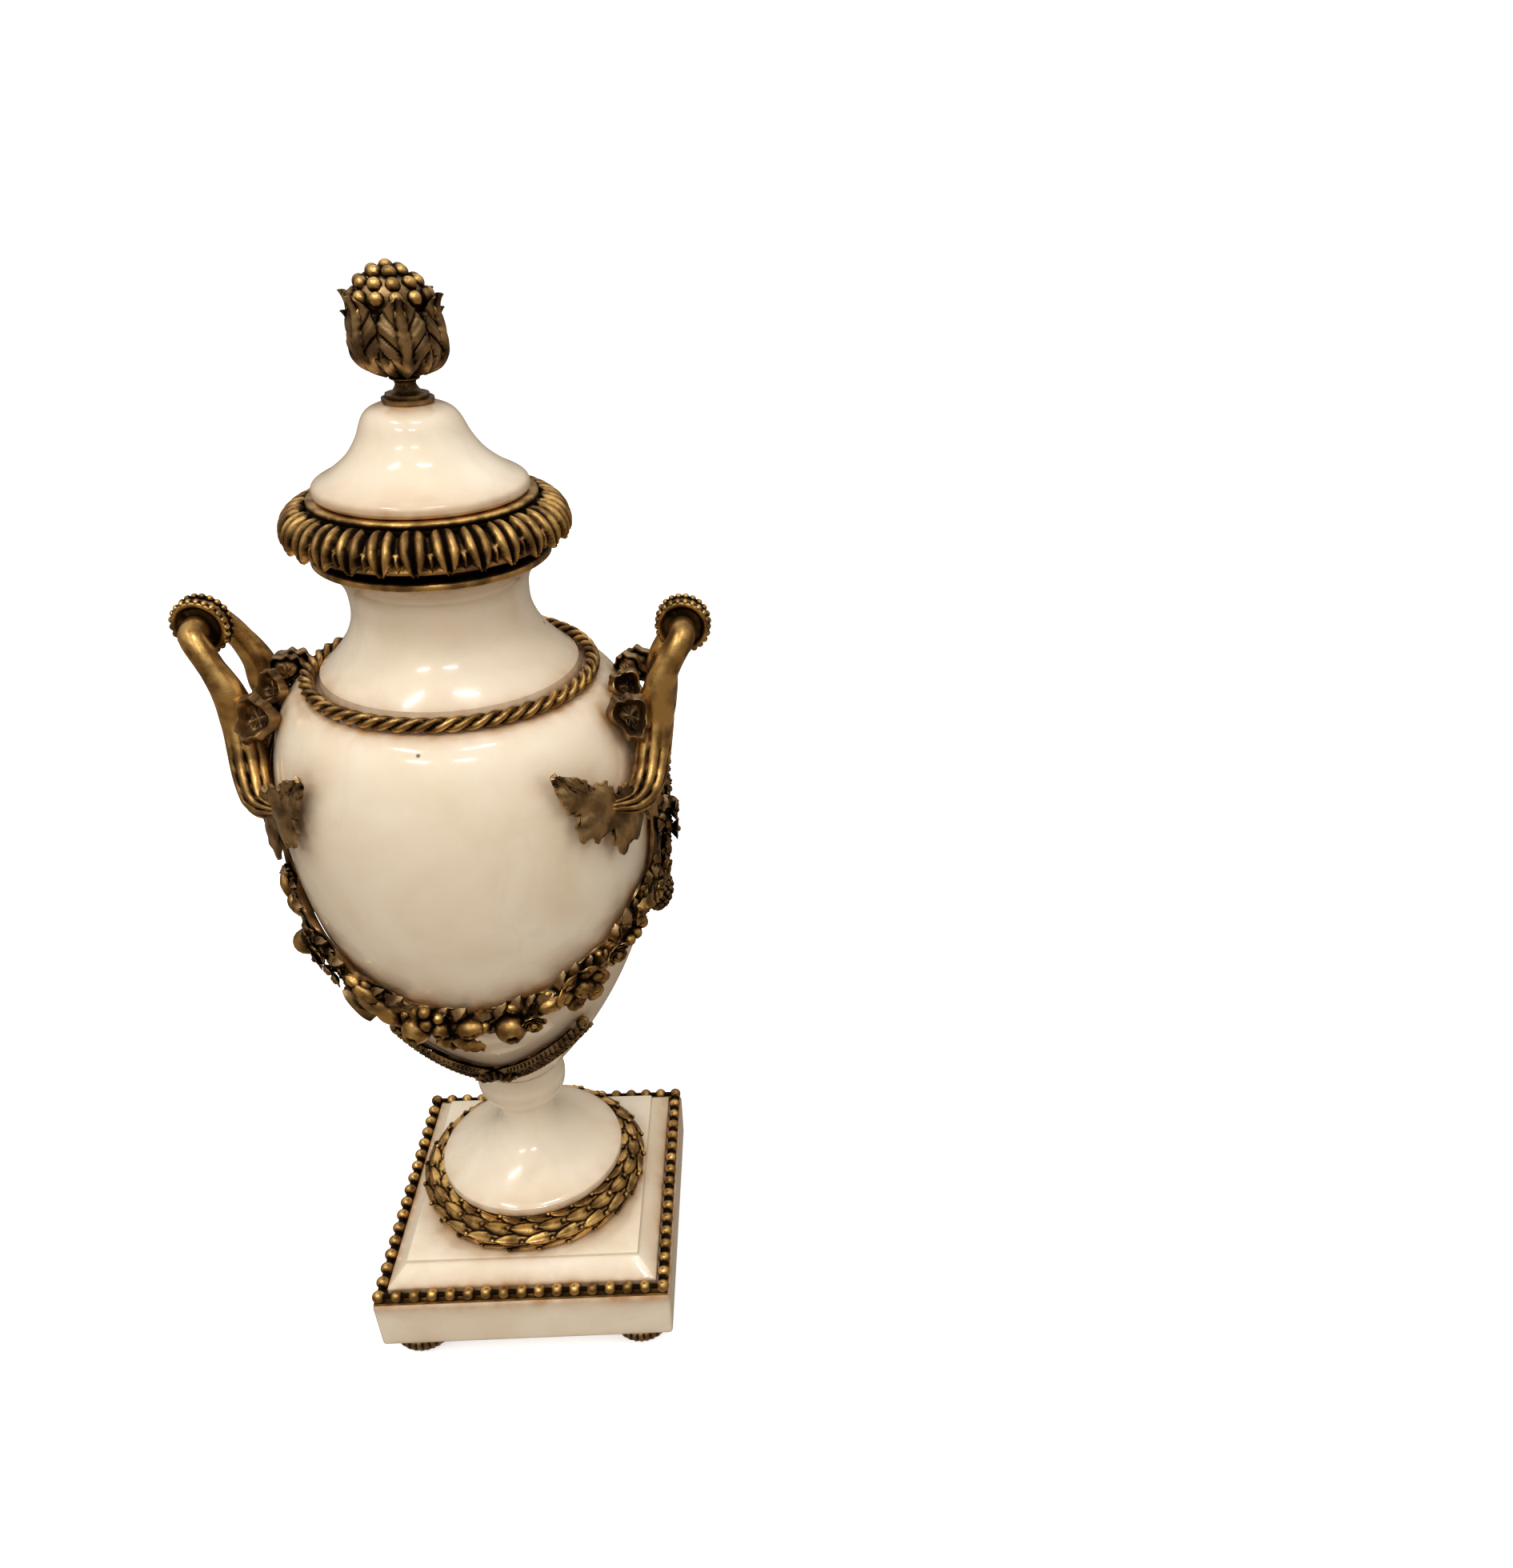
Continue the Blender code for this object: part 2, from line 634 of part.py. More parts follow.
def make_lid():
    """The lid lifts off: a lip on its underside drops into the collar's bore."""
    lip = COLLAR_BORE - LID_LIP_CLEARANCE
    outline = [(0, LID_TOP)]
    for share in (1.0, 0.94, 0.8, 0.55, 0.3, 0.15, 0.05):
        outline.append((lid_radius(share), LID_BOTTOM + share * LID_HEIGHT))
    outline += [(LID_RADIUS - LID_UNDERCUT, LID_BOTTOM),
                (lip, LID_BOTTOM),
                (lip, LID_BOTTOM - LID_LIP_DEPTH),
                (lip - LID_LIP_WALL, LID_BOTTOM - LID_LIP_DEPTH)]
    for share in (0.12, 0.4):
        outline.append((min(lid_radius(share), lip + LID_WALL - LID_LIP_WALL) - LID_WALL,
                        LID_BOTTOM + share * LID_HEIGHT))
    outline.append((lid_radius(0.8) - LID_WALL, LID_TOP - LID_WALL))
    outline.append((0, LID_TOP - LID_WALL))
    turned("lid", outline, SMALL_STEPS, marble)


def make_finial():
    """A bud of acanthus leaves on a turned stalk, filled with a dome of berries."""
    stalk_top = FINIAL_BOTTOM + FINIAL_STALK_HEIGHT
    bud_top = stalk_top + BUD_HEIGHT
    outline = [(0, bud_top + BERRY_DOME_HEIGHT * 0.85),
               (BUD_MOUTH_RADIUS * 0.6, bud_top + BERRY_DOME_HEIGHT * 0.6),
               (BUD_MOUTH_RADIUS, bud_top),
               (BUD_RADIUS * 0.93, stalk_top + BUD_HEIGHT * 0.62),
               (BUD_RADIUS, stalk_top + BUD_HEIGHT * 0.36),
               (BUD_RADIUS * 0.72, stalk_top + BUD_HEIGHT * 0.08),
               (FINIAL_NECK_RADIUS * 1.5, stalk_top),
               (FINIAL_NECK_RADIUS, (stalk_top + FINIAL_BOTTOM + FINIAL_FOOT_HEIGHT) / 2),
               (FINIAL_FOOT_RADIUS * 0.8, FINIAL_BOTTOM + FINIAL_FOOT_HEIGHT),
               (FINIAL_FOOT_RADIUS, FINIAL_BOTTOM + FINIAL_FOOT_HEIGHT * 0.6),
               (FINIAL_FOOT_RADIUS, FINIAL_BOTTOM),
               (0, FINIAL_BOTTOM)]
    finial = turned("finial", outline, 2 * BUD_LEAVES, dark_bronze)

    def leaves(radius, angle, height):
        if height < stalk_top + MERGE or height > bud_top + MERGE or radius < BUD_MOUTH_RADIUS * 0.8:
            return 0.0
        return BUD_LEAF_DEPTH * math.cos(BUD_LEAVES * angle)

    carve(finial, leaves)
    berries = []
    for count, tilt in ((1, 0), (3, 40), (6, 74)):
        for i in range(count):
            turn = 2 * math.pi * (i + 0.5) / count
            across = (BUD_MOUTH_RADIUS - BERRY_RADIUS * 0.6) * math.sin(math.radians(tilt))
            height = bud_top - BERRY_RADIUS * 0.6 + BERRY_DOME_HEIGHT * math.cos(math.radians(tilt))
            centre = Vector((across * math.cos(turn), across * math.sin(turn), height))
            berries.append(ball("berry", centre, [BERRY_RADIUS] * 3,
                                Matrix.Rotation(turn, 3, "Z"), gilt_bronze))
    fuse(finial, berries)


# Handles: a beaded roundel, two arms and two leaves, cast in one


def leaf_low_width(share):
    lobes = 1 + 0.16 * math.cos(2 * math.pi * 3.5 * share)
    return LEAF_LOW_WIDTH * math.sin(math.pi * (0.14 + 0.86 * share) ** 0.75) * lobes + LEAF_TIP_WIDTH


def leaf_high_width(share):
    lobes = 1 + 0.16 * math.cos(2 * math.pi * 3.5 * share)
    return LEAF_HIGH_WIDTH * math.sin(math.pi * (0.14 + 0.86 * share) ** 0.9) * lobes + LEAF_TIP_WIDTH


def leaf_rise(share, side):
    """A rib along the spine that fades at the tip, and edges that lift a little."""
    return LEAF_RIB * (1 - abs(side)) * (1 - share) + 0.4 * LEAF_RIB * share ** 2


def make_leaf():
    dip = LEAF_ROOT_DROP * 0.4
    route = smooth_curve(((LEAF_TIP_ANGLE / 3, LEAF_ROOT_HEIGHT - dip / 6, 0),
                          (LEAF_TIP_ANGLE * 0.52, LEAF_ROOT_HEIGHT - dip, 0),
                          (LEAF_TIP_ANGLE * 0.80, LEAF_ROOT_HEIGHT + dip * 0.6, 0),
                          (LEAF_TIP_ANGLE, LEAF_TIP_HEIGHT, 0)), 2)
    spine = [(point.x, point.y) for point in route]
    return draped("leaf", spine, leaf_low_width, leaf_high_width, leaf_rise, 2,
                  LEAF_THICKNESS, dark_bronze)


def make_arm():
    """The front arm of the right handle, from the roundel's face down to the leaf."""
    low = on_body(LEAF_TIP_ANGLE * 0.41, LEAF_ROOT_HEIGHT, SHEATH_RADIUS + GAP + DRAPE_LIFT)
    end = on_body(LEAF_TIP_ANGLE * 0.54, LEAF_ROOT_HEIGHT - ARM_RADIUS * 0.78, SHEATH_RADIUS * 0.8 + GAP)
    far, top = ROUNDEL_DISTANCE, ROUNDEL_HEIGHT
    reach, fall = ROUNDEL_REACH, top - LEAF_ROOT_HEIGHT
    route = smooth_curve(((far, -ROUNDEL_THICKNESS * 0.25, top),
                          (far - reach * 0.03, -ARM_SPREAD * 0.72, top - fall * 0.03),
                          (far - reach * 0.33, -ARM_SPREAD * 0.90, top - fall * 0.18),
                          (far - reach * 0.64, -ARM_SPREAD, top - fall * 0.39),
                          (far - reach * 0.74, -ARM_SPREAD * 1.05, top - fall * 0.63),
                          low, end), 2)
    curve = bpy.data.curves.new("arm", "CURVE")
    curve.dimensions = "3D"
    curve.bevel_depth = ARM_RADIUS
    curve.bevel_resolution = 1
    curve.use_fill_caps = True
    spline = curve.splines.new("POLY")
    spline.points.add(len(route) - 1)
    for i, point in enumerate(route):
        share = i / (len(route) - 1)
        swell = 1 + (SHEATH_RADIUS / ARM_RADIUS - 1) * max(0.0, min(1.0, (share - 0.5) / 0.3))
        taper = 1 - 0.35 * max(0.0, (share - 0.85) / 0.15)
        spline.points[i].co = (*point, 1.0)
        spline.points[i].radius = swell * taper
    guide = bpy.data.objects.new("arm guide", curve)
    urn.objects.link(guide)
    depsgraph = bpy.context.evaluated_depsgraph_get()
    mesh = bpy.data.meshes.new_from_object(guide.evaluated_get(depsgraph))
    bpy.data.objects.remove(guide)
    form = bmesh.new()
    form.from_mesh(mesh)
    bmesh.ops.remove_doubles(form, verts=form.verts, dist=MERGE)
    form.to_mesh(mesh)
    form.free()
    return add_piece("arm", mesh, gilt_bronze)


def mirrored(piece):
    """A copy of a piece, mirrored from the front to the back."""
    mesh = piece.data.copy()
    mesh.transform(Matrix.Scale(-1, 4, Vector((0, 1, 0))))
    mesh.flip_normals()
    return add_piece(piece.name, mesh, piece.data.materials[0])


def make_handles():
    half = ROUNDEL_THICKNESS / 2
    outline = [(0, half), (ROUNDEL_RADIUS * 0.8, half), (ROUNDEL_RADIUS, half * 0.7),
               (ROUNDEL_RADIUS, -half * 0.7), (ROUNDEL_RADIUS * 0.8, -half), (0, -half)]
    handle = turned("handle_right", outline, 2 * ROUNDEL_BEADS, gilt_bronze)

    def beads(radius, angle, height):
        if radius < ROUNDEL_RADIUS * 0.9:
            return 0.0
        return ROUNDEL_BEAD_DEPTH * math.cos(ROUNDEL_BEADS * angle)

    carve(handle, beads)
    centre = Vector((ROUNDEL_DISTANCE, 0, ROUNDEL_HEIGHT))
    handle.data.transform(Matrix.Translation(centre) @ Matrix.Rotation(math.pi / 2, 4, "X"))
    arm = make_arm()
    leaf = make_leaf()
    fuse(handle, [arm, leaf, mirrored(arm), mirrored(leaf)])
    half_turned(handle, "handle_left")


# Ribbon bows, side drops, swags and laurel sprays on the body


def make_bows():
    """A ribbon bow on the shoulder: narrow at its knot and pleated towards both ends."""
    columns = 9
    spine = []
    for i in range(columns):
        share = 2 * i / (columns - 1) - 1
        spine.append((share * BOW_HALF_ANGLE, BOW_HEIGHT + BOW_LIFT * abs(share)))

    def width(share):
        return BOW_WIDTH * (0.45 + 0.55 * math.sin(math.pi * abs(2 * share - 1) ** 0.8 * 0.8))

    def pleats(share, side):
        return BOW_PLEAT * (0.5 - 0.5 * math.cos(2 * math.pi * 4 * share)) * (1 - 0.5 * side)

    bow = draped("bow_right", spine, width, width, pleats, 2, BOW_THICKNESS, dark_bronze)
    knot_radii = (KNOT_HALF_WIDTH * 0.76, KNOT_HALF_WIDTH, KNOT_HALF_WIDTH * 1.2)
    knot = ball("knot", on_body(0, BOW_HEIGHT, knot_radii[0] + GAP), knot_radii,
                surface_turn(0, BOW_HEIGHT), dark_bronze)
    fuse(bow, [knot])
    half_turned(bow, "bow_left")


def make_drops():
    """A short string of flowers and berries below each bow, ending in a seed head."""
    count = 7
    route = []
    widths = []
    for i in range(count):
        route.append((0.0, DROP_TOP_HEIGHT + (DROP_BOTTOM_HEIGHT - DROP_TOP_HEIGHT) * i / (count - 1)))
        widths.append(DROP_HALF_WIDTH * (1.0 if i % 2 else 1.4))
    drop = stem_on_body("side_drop_right", route, widths, DROP_PROUD, 4, dark_bronze)
    flowers = []
    length = DROP_TOP_HEIGHT - DROP_BOTTOM_HEIGHT
    for share, width, stretch in ((0.15, 0.90, 1.5), (0.46, 1.05, 1.3), (0.88, 1.0, 2.3)):
        size = DROP_FLOWER * width
        height = DROP_TOP_HEIGHT - share * length
        flowers.append(ball("flower", on_body(0, height, size + GAP), (size, size, size * stretch),
                            surface_turn(0, height), dark_bronze))
    fuse(drop, flowers)
    half_turned(drop, "side_drop_left")


def swag_height(lean):
    """Height of the swag's stem at an angle from the front, and up its last stretch."""
    return SWAG_LOW_HEIGHT + SWAG_RISE * (abs(lean) / 90) ** 1.8


# Fruit and flowers along the front swag: degrees from the middle and then, in half widths of
# the swag, offset up the marble, radii across the marble and along it, and how far it stands off
SWAG_FRUIT = (
    (-73, 0.0, 1.30, 1.74, 0.78), (-61, -0.65, 0.96, 0.96, 1.00),
    (-48, 0.0, 1.65, 1.74, 0.87), (-33, 0.0, 1.35, 1.74, 0.83),
    (-17, -0.65, 1.30, 1.30, 1.26), (-2, -0.43, 1.35, 1.70, 1.04),
    (15, -0.65, 1.30, 1.35, 1.26), (36, 0.22, 2.17, 2.17, 0.96),
    (60, 0.11, 1.30, 1.74, 1.00))


def make_swags():
    halfway = (SWAG_TOP_HEIGHT + swag_height(SWAG_HALF_ANGLE)) / 2
    rise = [(-SWAG_TOP_ANGLE, SWAG_TOP_HEIGHT),
            (-(SWAG_TOP_ANGLE + SWAG_HALF_ANGLE) / 2, halfway)]
    steps = 10
    leans = [SWAG_HALF_ANGLE * (2 * i / steps - 1) for i in range(steps + 1)]
    route = [(lean - 90, height) for lean, height in rise]
    route += [(lean - 90, swag_height(lean)) for lean in leans]
    route += [(-lean - 90, height) for lean, height in reversed(rise)]
    widths = [SWAG_HALF_WIDTH * (1.0 if i % 2 else 1.3) for i in range(len(route))]
    ends = [SWAG_HALF_WIDTH * 0.5, SWAG_HALF_WIDTH * 0.6]
    widths[:2] = ends
    widths[-2:] = reversed(ends)
    swag = stem_on_body("swag_front", route, widths, SWAG_PROUD, 4, dark_bronze)
    fruit = []
    for lean, offset, across, along, proud in SWAG_FRUIT:
        height = swag_height(lean) + offset * SWAG_HALF_WIDTH
        radii = [share * SWAG_HALF_WIDTH for share in (proud, along, across)]
        fruit.append(ball("fruit", on_body(lean - 90, height, radii[0] + GAP), radii,
                          surface_turn(lean - 90, height), gilt_bronze))
    fuse(swag, fruit)
    half_turned(swag, "swag_back")


def make_sprays():
    """Crossed laurel branches under the swag, rising to both sides from a small palmette."""
    steps = 12
    route = []
    widths = []
    for i in range(steps + 1):
        share = 2 * i / steps - 1
        route.append((share * SPRAY_HALF_ANGLE - 90,
                      SPRAY_LOW_HEIGHT + (SPRAY_TIP_HEIGHT - SPRAY_LOW_HEIGHT) * abs(share) ** 1.8))
        widths.append(SPRAY_HALF_WIDTH * (1.0 if i % 2 else 0.75))
    spray = stem_on_body("laurel_spray_front", route, widths, SPRAY_PROUD, 4, dark_bronze)
    radii = (SPRAY_PROUD * 1.3, SPRAY_HALF_WIDTH * 1.7, SPRAY_HALF_WIDTH * 1.5)
    centre = on_body(-90, SPRAY_LOW_HEIGHT + SPRAY_HALF_WIDTH * 0.4, radii[0] + GAP)
    palmette = ball("palmette", centre, radii, surface_turn(-90, SPRAY_LOW_HEIGHT), dark_bronze)
    fuse(spray, [palmette])
    half_turned(spray, "laurel_spray_back")


for leftover in list(bpy.data.objects):
    bpy.data.objects.remove(leftover)

urn = bpy.data.collections.new("mantel_urn")
cutters = bpy.data.collections.new("cutters")
bpy.context.scene.collection.children.link(urn)
bpy.context.scene.collection.children.link(cutters)

marble = new_material("white marble", (0.86, 0.80, 0.69), 0.18, 0.0)
gilt_bronze = new_material("gilt bronze", (0.50, 0.34, 0.14), 0.34, 1.0)
dark_bronze = new_material("darkened bronze", (0.30, 0.22, 0.12), 0.42, 1.0)

make_feet()
make_base()
make_bead_border()
make_slab()
make_wreath()
make_pedestal()
make_body()
make_rope()
make_neck()
make_collar()
make_lid()
make_finial()
make_handles()
make_bows()
make_drops()
make_swags()
make_sprays()
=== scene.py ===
import math

import bmesh
import bpy
from mathutils import Matrix, Vector
from mathutils.bvhtree import BVHTree


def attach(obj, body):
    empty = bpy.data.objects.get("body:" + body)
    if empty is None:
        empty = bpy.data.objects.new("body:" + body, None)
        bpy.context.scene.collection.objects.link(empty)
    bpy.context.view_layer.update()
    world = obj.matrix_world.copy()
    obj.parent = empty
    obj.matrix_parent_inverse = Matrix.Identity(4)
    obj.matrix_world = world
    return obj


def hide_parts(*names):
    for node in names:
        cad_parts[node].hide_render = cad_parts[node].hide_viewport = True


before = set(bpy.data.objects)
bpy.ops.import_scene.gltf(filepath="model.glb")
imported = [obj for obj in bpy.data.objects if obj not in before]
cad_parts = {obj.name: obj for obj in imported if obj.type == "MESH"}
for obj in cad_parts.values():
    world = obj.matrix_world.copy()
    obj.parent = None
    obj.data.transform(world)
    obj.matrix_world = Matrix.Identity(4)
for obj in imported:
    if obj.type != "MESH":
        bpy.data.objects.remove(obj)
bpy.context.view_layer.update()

# The view and the light.
# A hand-held camera a little above the lid, looking down at the urn, which stands left of the middle.
# A pale floor runs out of sight under soft ceiling panels, as in a bright shop.
CAMERA_PLACE = (0.1034, -0.3986, 0.4695)
CAMERA_TURN, CAMERA_DOWN, CAMERA_ROLL = -4.7717, 34.5657, 1.6599
SKY_STRENGTH, FLOOR_GLOW = 0.75, 0.50

camera_data = bpy.data.cameras.new("view")
camera_data.lens = 27.50
camera_data.shift_x = -0.0525
camera_data.shift_y = 0.0824
camera_data.clip_start = 0.01
camera = bpy.data.objects.new("view", camera_data)
bpy.context.scene.collection.objects.link(camera)
camera.matrix_world = (Matrix.Translation(CAMERA_PLACE)
                       @ Matrix.Rotation(math.radians(CAMERA_TURN), 4, "Z")
                       @ Matrix.Rotation(math.radians(90 - CAMERA_DOWN), 4, "X")
                       @ Matrix.Rotation(math.radians(CAMERA_ROLL), 4, "Z"))
bpy.context.scene.camera = camera
bpy.context.scene.view_settings.view_transform = "Standard"


def set_inputs(tree, node, **inputs):
    """Set a node's inputs, or link the sockets given for them; an underscore stands for a space."""
    for name, given in inputs.items():
        socket = node.inputs[name.replace("_", " ")]
        if isinstance(given, bpy.types.NodeSocket):
            tree.links.new(given, socket)
        else:
            socket.default_value = given
    return node


def add_node(tree, kind, **inputs):
    return set_inputs(tree, tree.nodes.new(kind), **inputs)


def add_ramp(tree, amount, *stops):
    """The colour that an amount picks between (amount, colour) stops."""
    ramp = add_node(tree, "ShaderNodeValToRGB", Fac=amount)
    colours = ramp.color_ramp.elements
    for end, (place, colour) in ((0, stops[0]), (1, stops[-1])):
        colours[end].position = place
        colours[end].color = (*colour, 1)
    for place, colour in stops[1:-1]:
        colours.new(place).color = (*colour, 1)
    return ramp.outputs["Color"]


room = bpy.data.worlds.new("room")
room.use_nodes = True
room_tree = room.node_tree
directions = room_tree.nodes.new("ShaderNodeTexCoord").outputs["Generated"]
up_in_room = add_node(room_tree, "ShaderNodeSeparateXYZ", Vector=directions).outputs["Z"]
walls = add_ramp(room_tree, up_in_room, (0.0, (0.34, 0.27, 0.20)), (0.12, (0.30, 0.25, 0.20)),
                 (0.40, (0.70, 0.66, 0.61)), (0.85, (1.3, 1.27, 1.22)))
sky = set_inputs(room_tree, room_tree.nodes["Background"], Color=walls, Strength=SKY_STRENGTH)
backdrop = add_node(room_tree, "ShaderNodeBackground", Color=(1.0, 1.0, 1.0, 1.0), Strength=1.0)
seen = room_tree.nodes.new("ShaderNodeLightPath").outputs["Is Camera Ray"]
either = add_node(room_tree, "ShaderNodeMixShader", Fac=seen)
room_tree.links.new(sky.outputs["Background"], either.inputs[1])
room_tree.links.new(backdrop.outputs["Background"], either.inputs[2])
set_inputs(room_tree, room_tree.nodes["World Output"], Surface=either.outputs["Shader"])
bpy.context.scene.world = room


def let_go():
    """Leave edit mode with nothing selected."""
    if bpy.context.object and bpy.context.object.mode != "OBJECT":
        bpy.ops.object.mode_set(mode="OBJECT")
    bpy.ops.object.select_all(action="DESELECT")


let_go()
bpy.ops.mesh.primitive_plane_add(size=8.0, location=(0, 0, 0))
floor = bpy.context.object
floor.name = "floor"
white_floor = bpy.data.materials.new("white floor")
white_floor.use_nodes = True
set_inputs(white_floor.node_tree, white_floor.node_tree.nodes["Principled BSDF"],
           Base_Color=(0.93, 0.925, 0.915, 1.0), Roughness=0.9,
           Emission_Color=(1.0, 1.0, 1.0, 1.0), Emission_Strength=FLOOR_GLOW)
floor.data.materials.append(white_floor)
floor.visible_glossy = False
floor.visible_diffuse = False


def hang_panel(name, place, target, width, depth, power, mirrored_in_gloss):
    """A lamp panel at a place, turned to face a target."""
    lamp = bpy.data.lights.new(name, "AREA")
    lamp.shape = "RECTANGLE"
    lamp.size = width
    lamp.size_y = depth
    lamp.energy = power
    panel = bpy.data.objects.new(name, lamp)
    bpy.context.scene.collection.objects.link(panel)
    facing = (Vector(target) - Vector(place)).to_track_quat("-Z", "Y")
    panel.matrix_world = Matrix.Translation(place) @ facing.to_matrix().to_4x4()
    panel.visible_glossy = mirrored_in_gloss


hang_panel("wide_panel", (-0.6, -1.1, 1.9), (0, 0, 0.2), 1.6, 1.2, 11, False)
hang_panel("side_panel", (1.3, -0.6, 0.9), (0, 0, 0.2), 0.6, 1.0, 4, False)
hang_panel("low_panel", (-0.3, -1.4, 0.3), (0, 0, 0.1), 0.9, 0.4, 3, False)
for row, away in enumerate((-1.45, -0.55)):
    for column, across in enumerate((-0.62, 0.30)):
        hang_panel(f"tube_{row}_{column}", (across, away, 1.75), (0, 0, 0.3), 0.42, 0.045, 2.6, True)

# The square plinth.
# Two slabs of white marble, sawn, ground and polished; the upper one has a broad bevel and a low step.
# They are cemented to each other, and small knocks have rounded the edges.
BASE_HALF = 0.0629
BASE_BOTTOM, BASE_TOP = 0.0120, 0.0377
SLAB_HALF, SLAB_TOP_HALF = 0.0570, 0.0492
SLAB_BOTTOM, SLAB_EDGE, SLAB_STEP, SLAB_TOP = 0.0380, 0.0422, 0.0493, 0.0511
BASE_WEAR, SLAB_WEAR = 0.0016, 0.0005
SLAB_CUTS = 15


def take(piece):
    """Select one piece alone and make it active."""
    let_go()
    piece.select_set(True)
    bpy.context.view_layer.objects.active = piece


def fix_place():
    """Move the place, turn and size of the selected piece into its mesh."""
    bpy.ops.object.transform_apply(location=True, rotation=True, scale=True)


def open_mesh():
    """Start to edit the active piece with all of it selected."""
    bpy.ops.object.mode_set(mode="EDIT")
    bpy.ops.mesh.select_all(action="SELECT")


def close_mesh():
    bpy.ops.object.mode_set(mode="OBJECT")


def apply_modifiers(piece):
    take(piece)
    for modifier in list(piece.modifiers):
        bpy.ops.object.modifier_apply(modifier=modifier.name)


def cut_finer(piece, cuts):
    """Cut every edge of a piece into shorter ones, for the wear and the chasing."""
    take(piece)
    open_mesh()
    bpy.ops.mesh.subdivide(number_cuts=cuts)
    close_mesh()


def add_noise(tree, place, scale, detail, distortion=0.0):
    return add_node(tree, "ShaderNodeTexNoise", Vector=place, Scale=scale, Detail=detail,
                    Distortion=distortion).outputs["Fac"]


def add_math(tree, operation, first, second):
    step = tree.nodes.new("ShaderNodeMath")
    step.operation = operation
    tree.links.new(first, step.inputs[0])
    if isinstance(second, bpy.types.NodeSocket):
        tree.links.new(second, step.inputs[1])
    else:
        step.inputs[1].default_value = second
    return step


def spread_out(tree, value, low, high, lowest, highest):
    """A value between low and high, brought to between lowest and highest."""
    return add_node(tree, "ShaderNodeMapRange", Value=value, From_Min=low, From_Max=high, To_Min=lowest,
                    To_Max=highest).outputs["Result"]


def stain(tree, ground, colour, amount):
    """A colour laid over the ground where the amount says."""
    mix = tree.nodes.new("ShaderNodeMix")
    mix.data_type = "RGBA"
    set_inputs(tree, mix, A=ground, B=(*colour, 1), Factor=amount)
    return mix.outputs["Result"]


def kept_value(tree, name):
    """What a piece keeps with its points under a name."""
    attribute = tree.nodes.new("ShaderNodeAttribute")
    attribute.attribute_name = name
    return attribute.outputs["Fac"]


def polished_marble():
    """Cream statuary marble: cloudy colour, faint grey veins, small pits, brown grime beside the bronze."""
    material = bpy.data.materials.new("polished marble")
    material.use_nodes = True
    tree = material.node_tree
    place = tree.nodes.new("ShaderNodeTexCoord").outputs["Object"]

    clouds = add_noise(tree, place, 24.0, 6.0, 0.6)
    colour = add_ramp(tree, clouds, (0.32, (0.78, 0.64, 0.46)), (0.68, (0.88, 0.78, 0.62)))
    veins = add_ramp(tree, add_noise(tree, place, 9.0, 8.0, 2.2),
                     (0.485, (0, 0, 0)), (0.50, (1, 1, 1)), (0.515, (0, 0, 0)))
    colour = stain(tree, colour, (0.66, 0.60, 0.52), add_math(tree, "MULTIPLY", veins, 0.16).outputs[0])

    spots = add_node(tree, "ShaderNodeTexVoronoi", Vector=place, Scale=62.0)
    dots = spread_out(tree, spots.outputs["Distance"], 0.030, 0.055, 1.0, 0.0)
    pick = add_node(tree, "ShaderNodeSeparateColor", Color=spots.outputs["Color"]).outputs["Red"]
    few = add_math(tree, "GREATER_THAN", pick, 0.93).outputs[0]
    pits = add_math(tree, "MULTIPLY", dots, few).outputs[0]
    colour = stain(tree, colour, (0.16, 0.10, 0.06), pits)

    smudges = spread_out(tree, add_noise(tree, place, 120.0, 4.0), 0.3, 0.7, 0.55, 1.0)
    grime = add_math(tree, "MULTIPLY", kept_value(tree, "grime"), smudges).outputs[0]
    colour = stain(tree, colour, (0.38, 0.18, 0.05), grime)

    relief = add_node(tree, "ShaderNodeBump", Strength=0.25, Distance=0.0003, Height=pits)
    relief.invert = True
    set_inputs(tree, tree.nodes["Principled BSDF"], Base_Color=colour, Normal=relief.outputs["Normal"],
               Roughness=spread_out(tree, clouds, 0.2, 0.8, 0.10, 0.24),
               IOR=1.5, Coat_Weight=0.55, Coat_Roughness=0.03)
    return material


marble = polished_marble()
marble_pieces = []


def place_marble(piece, *nodes):
    """Finish a marble piece: smooth where it curves, in marble, in the place of its solids."""
    take(piece)
    fix_place()
    bpy.ops.object.shade_smooth_by_angle(angle=math.radians(32))
    piece.data.materials.clear()
    piece.data.materials.append(marble)
    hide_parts(*nodes)
    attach(piece, "root")
    marble_pieces.append(piece)


def saw_slab(name, half, bottom, top):
    let_go()
    bpy.ops.mesh.primitive_cube_add(size=1.0, location=(0, 0, (bottom + top) / 2))
    slab = bpy.context.object
    slab.name = name
    slab.scale = (2 * half, 2 * half, top - bottom)
    fix_place()
    return slab


def round_edges(piece, width, segments, lowest_angle):
    edges = piece.modifiers.new("worn edges", "BEVEL")
    edges.width = width
    edges.segments = segments
    edges.angle_limit = math.radians(lowest_angle)
    apply_modifiers(piece)


lower_slab = saw_slab("lower_slab", BASE_HALF, BASE_BOTTOM, BASE_TOP)
round_edges(lower_slab, BASE_WEAR, 4, 25)
cut_finer(lower_slab, SLAB_CUTS)
place_marble(lower_slab, "plinth_base")

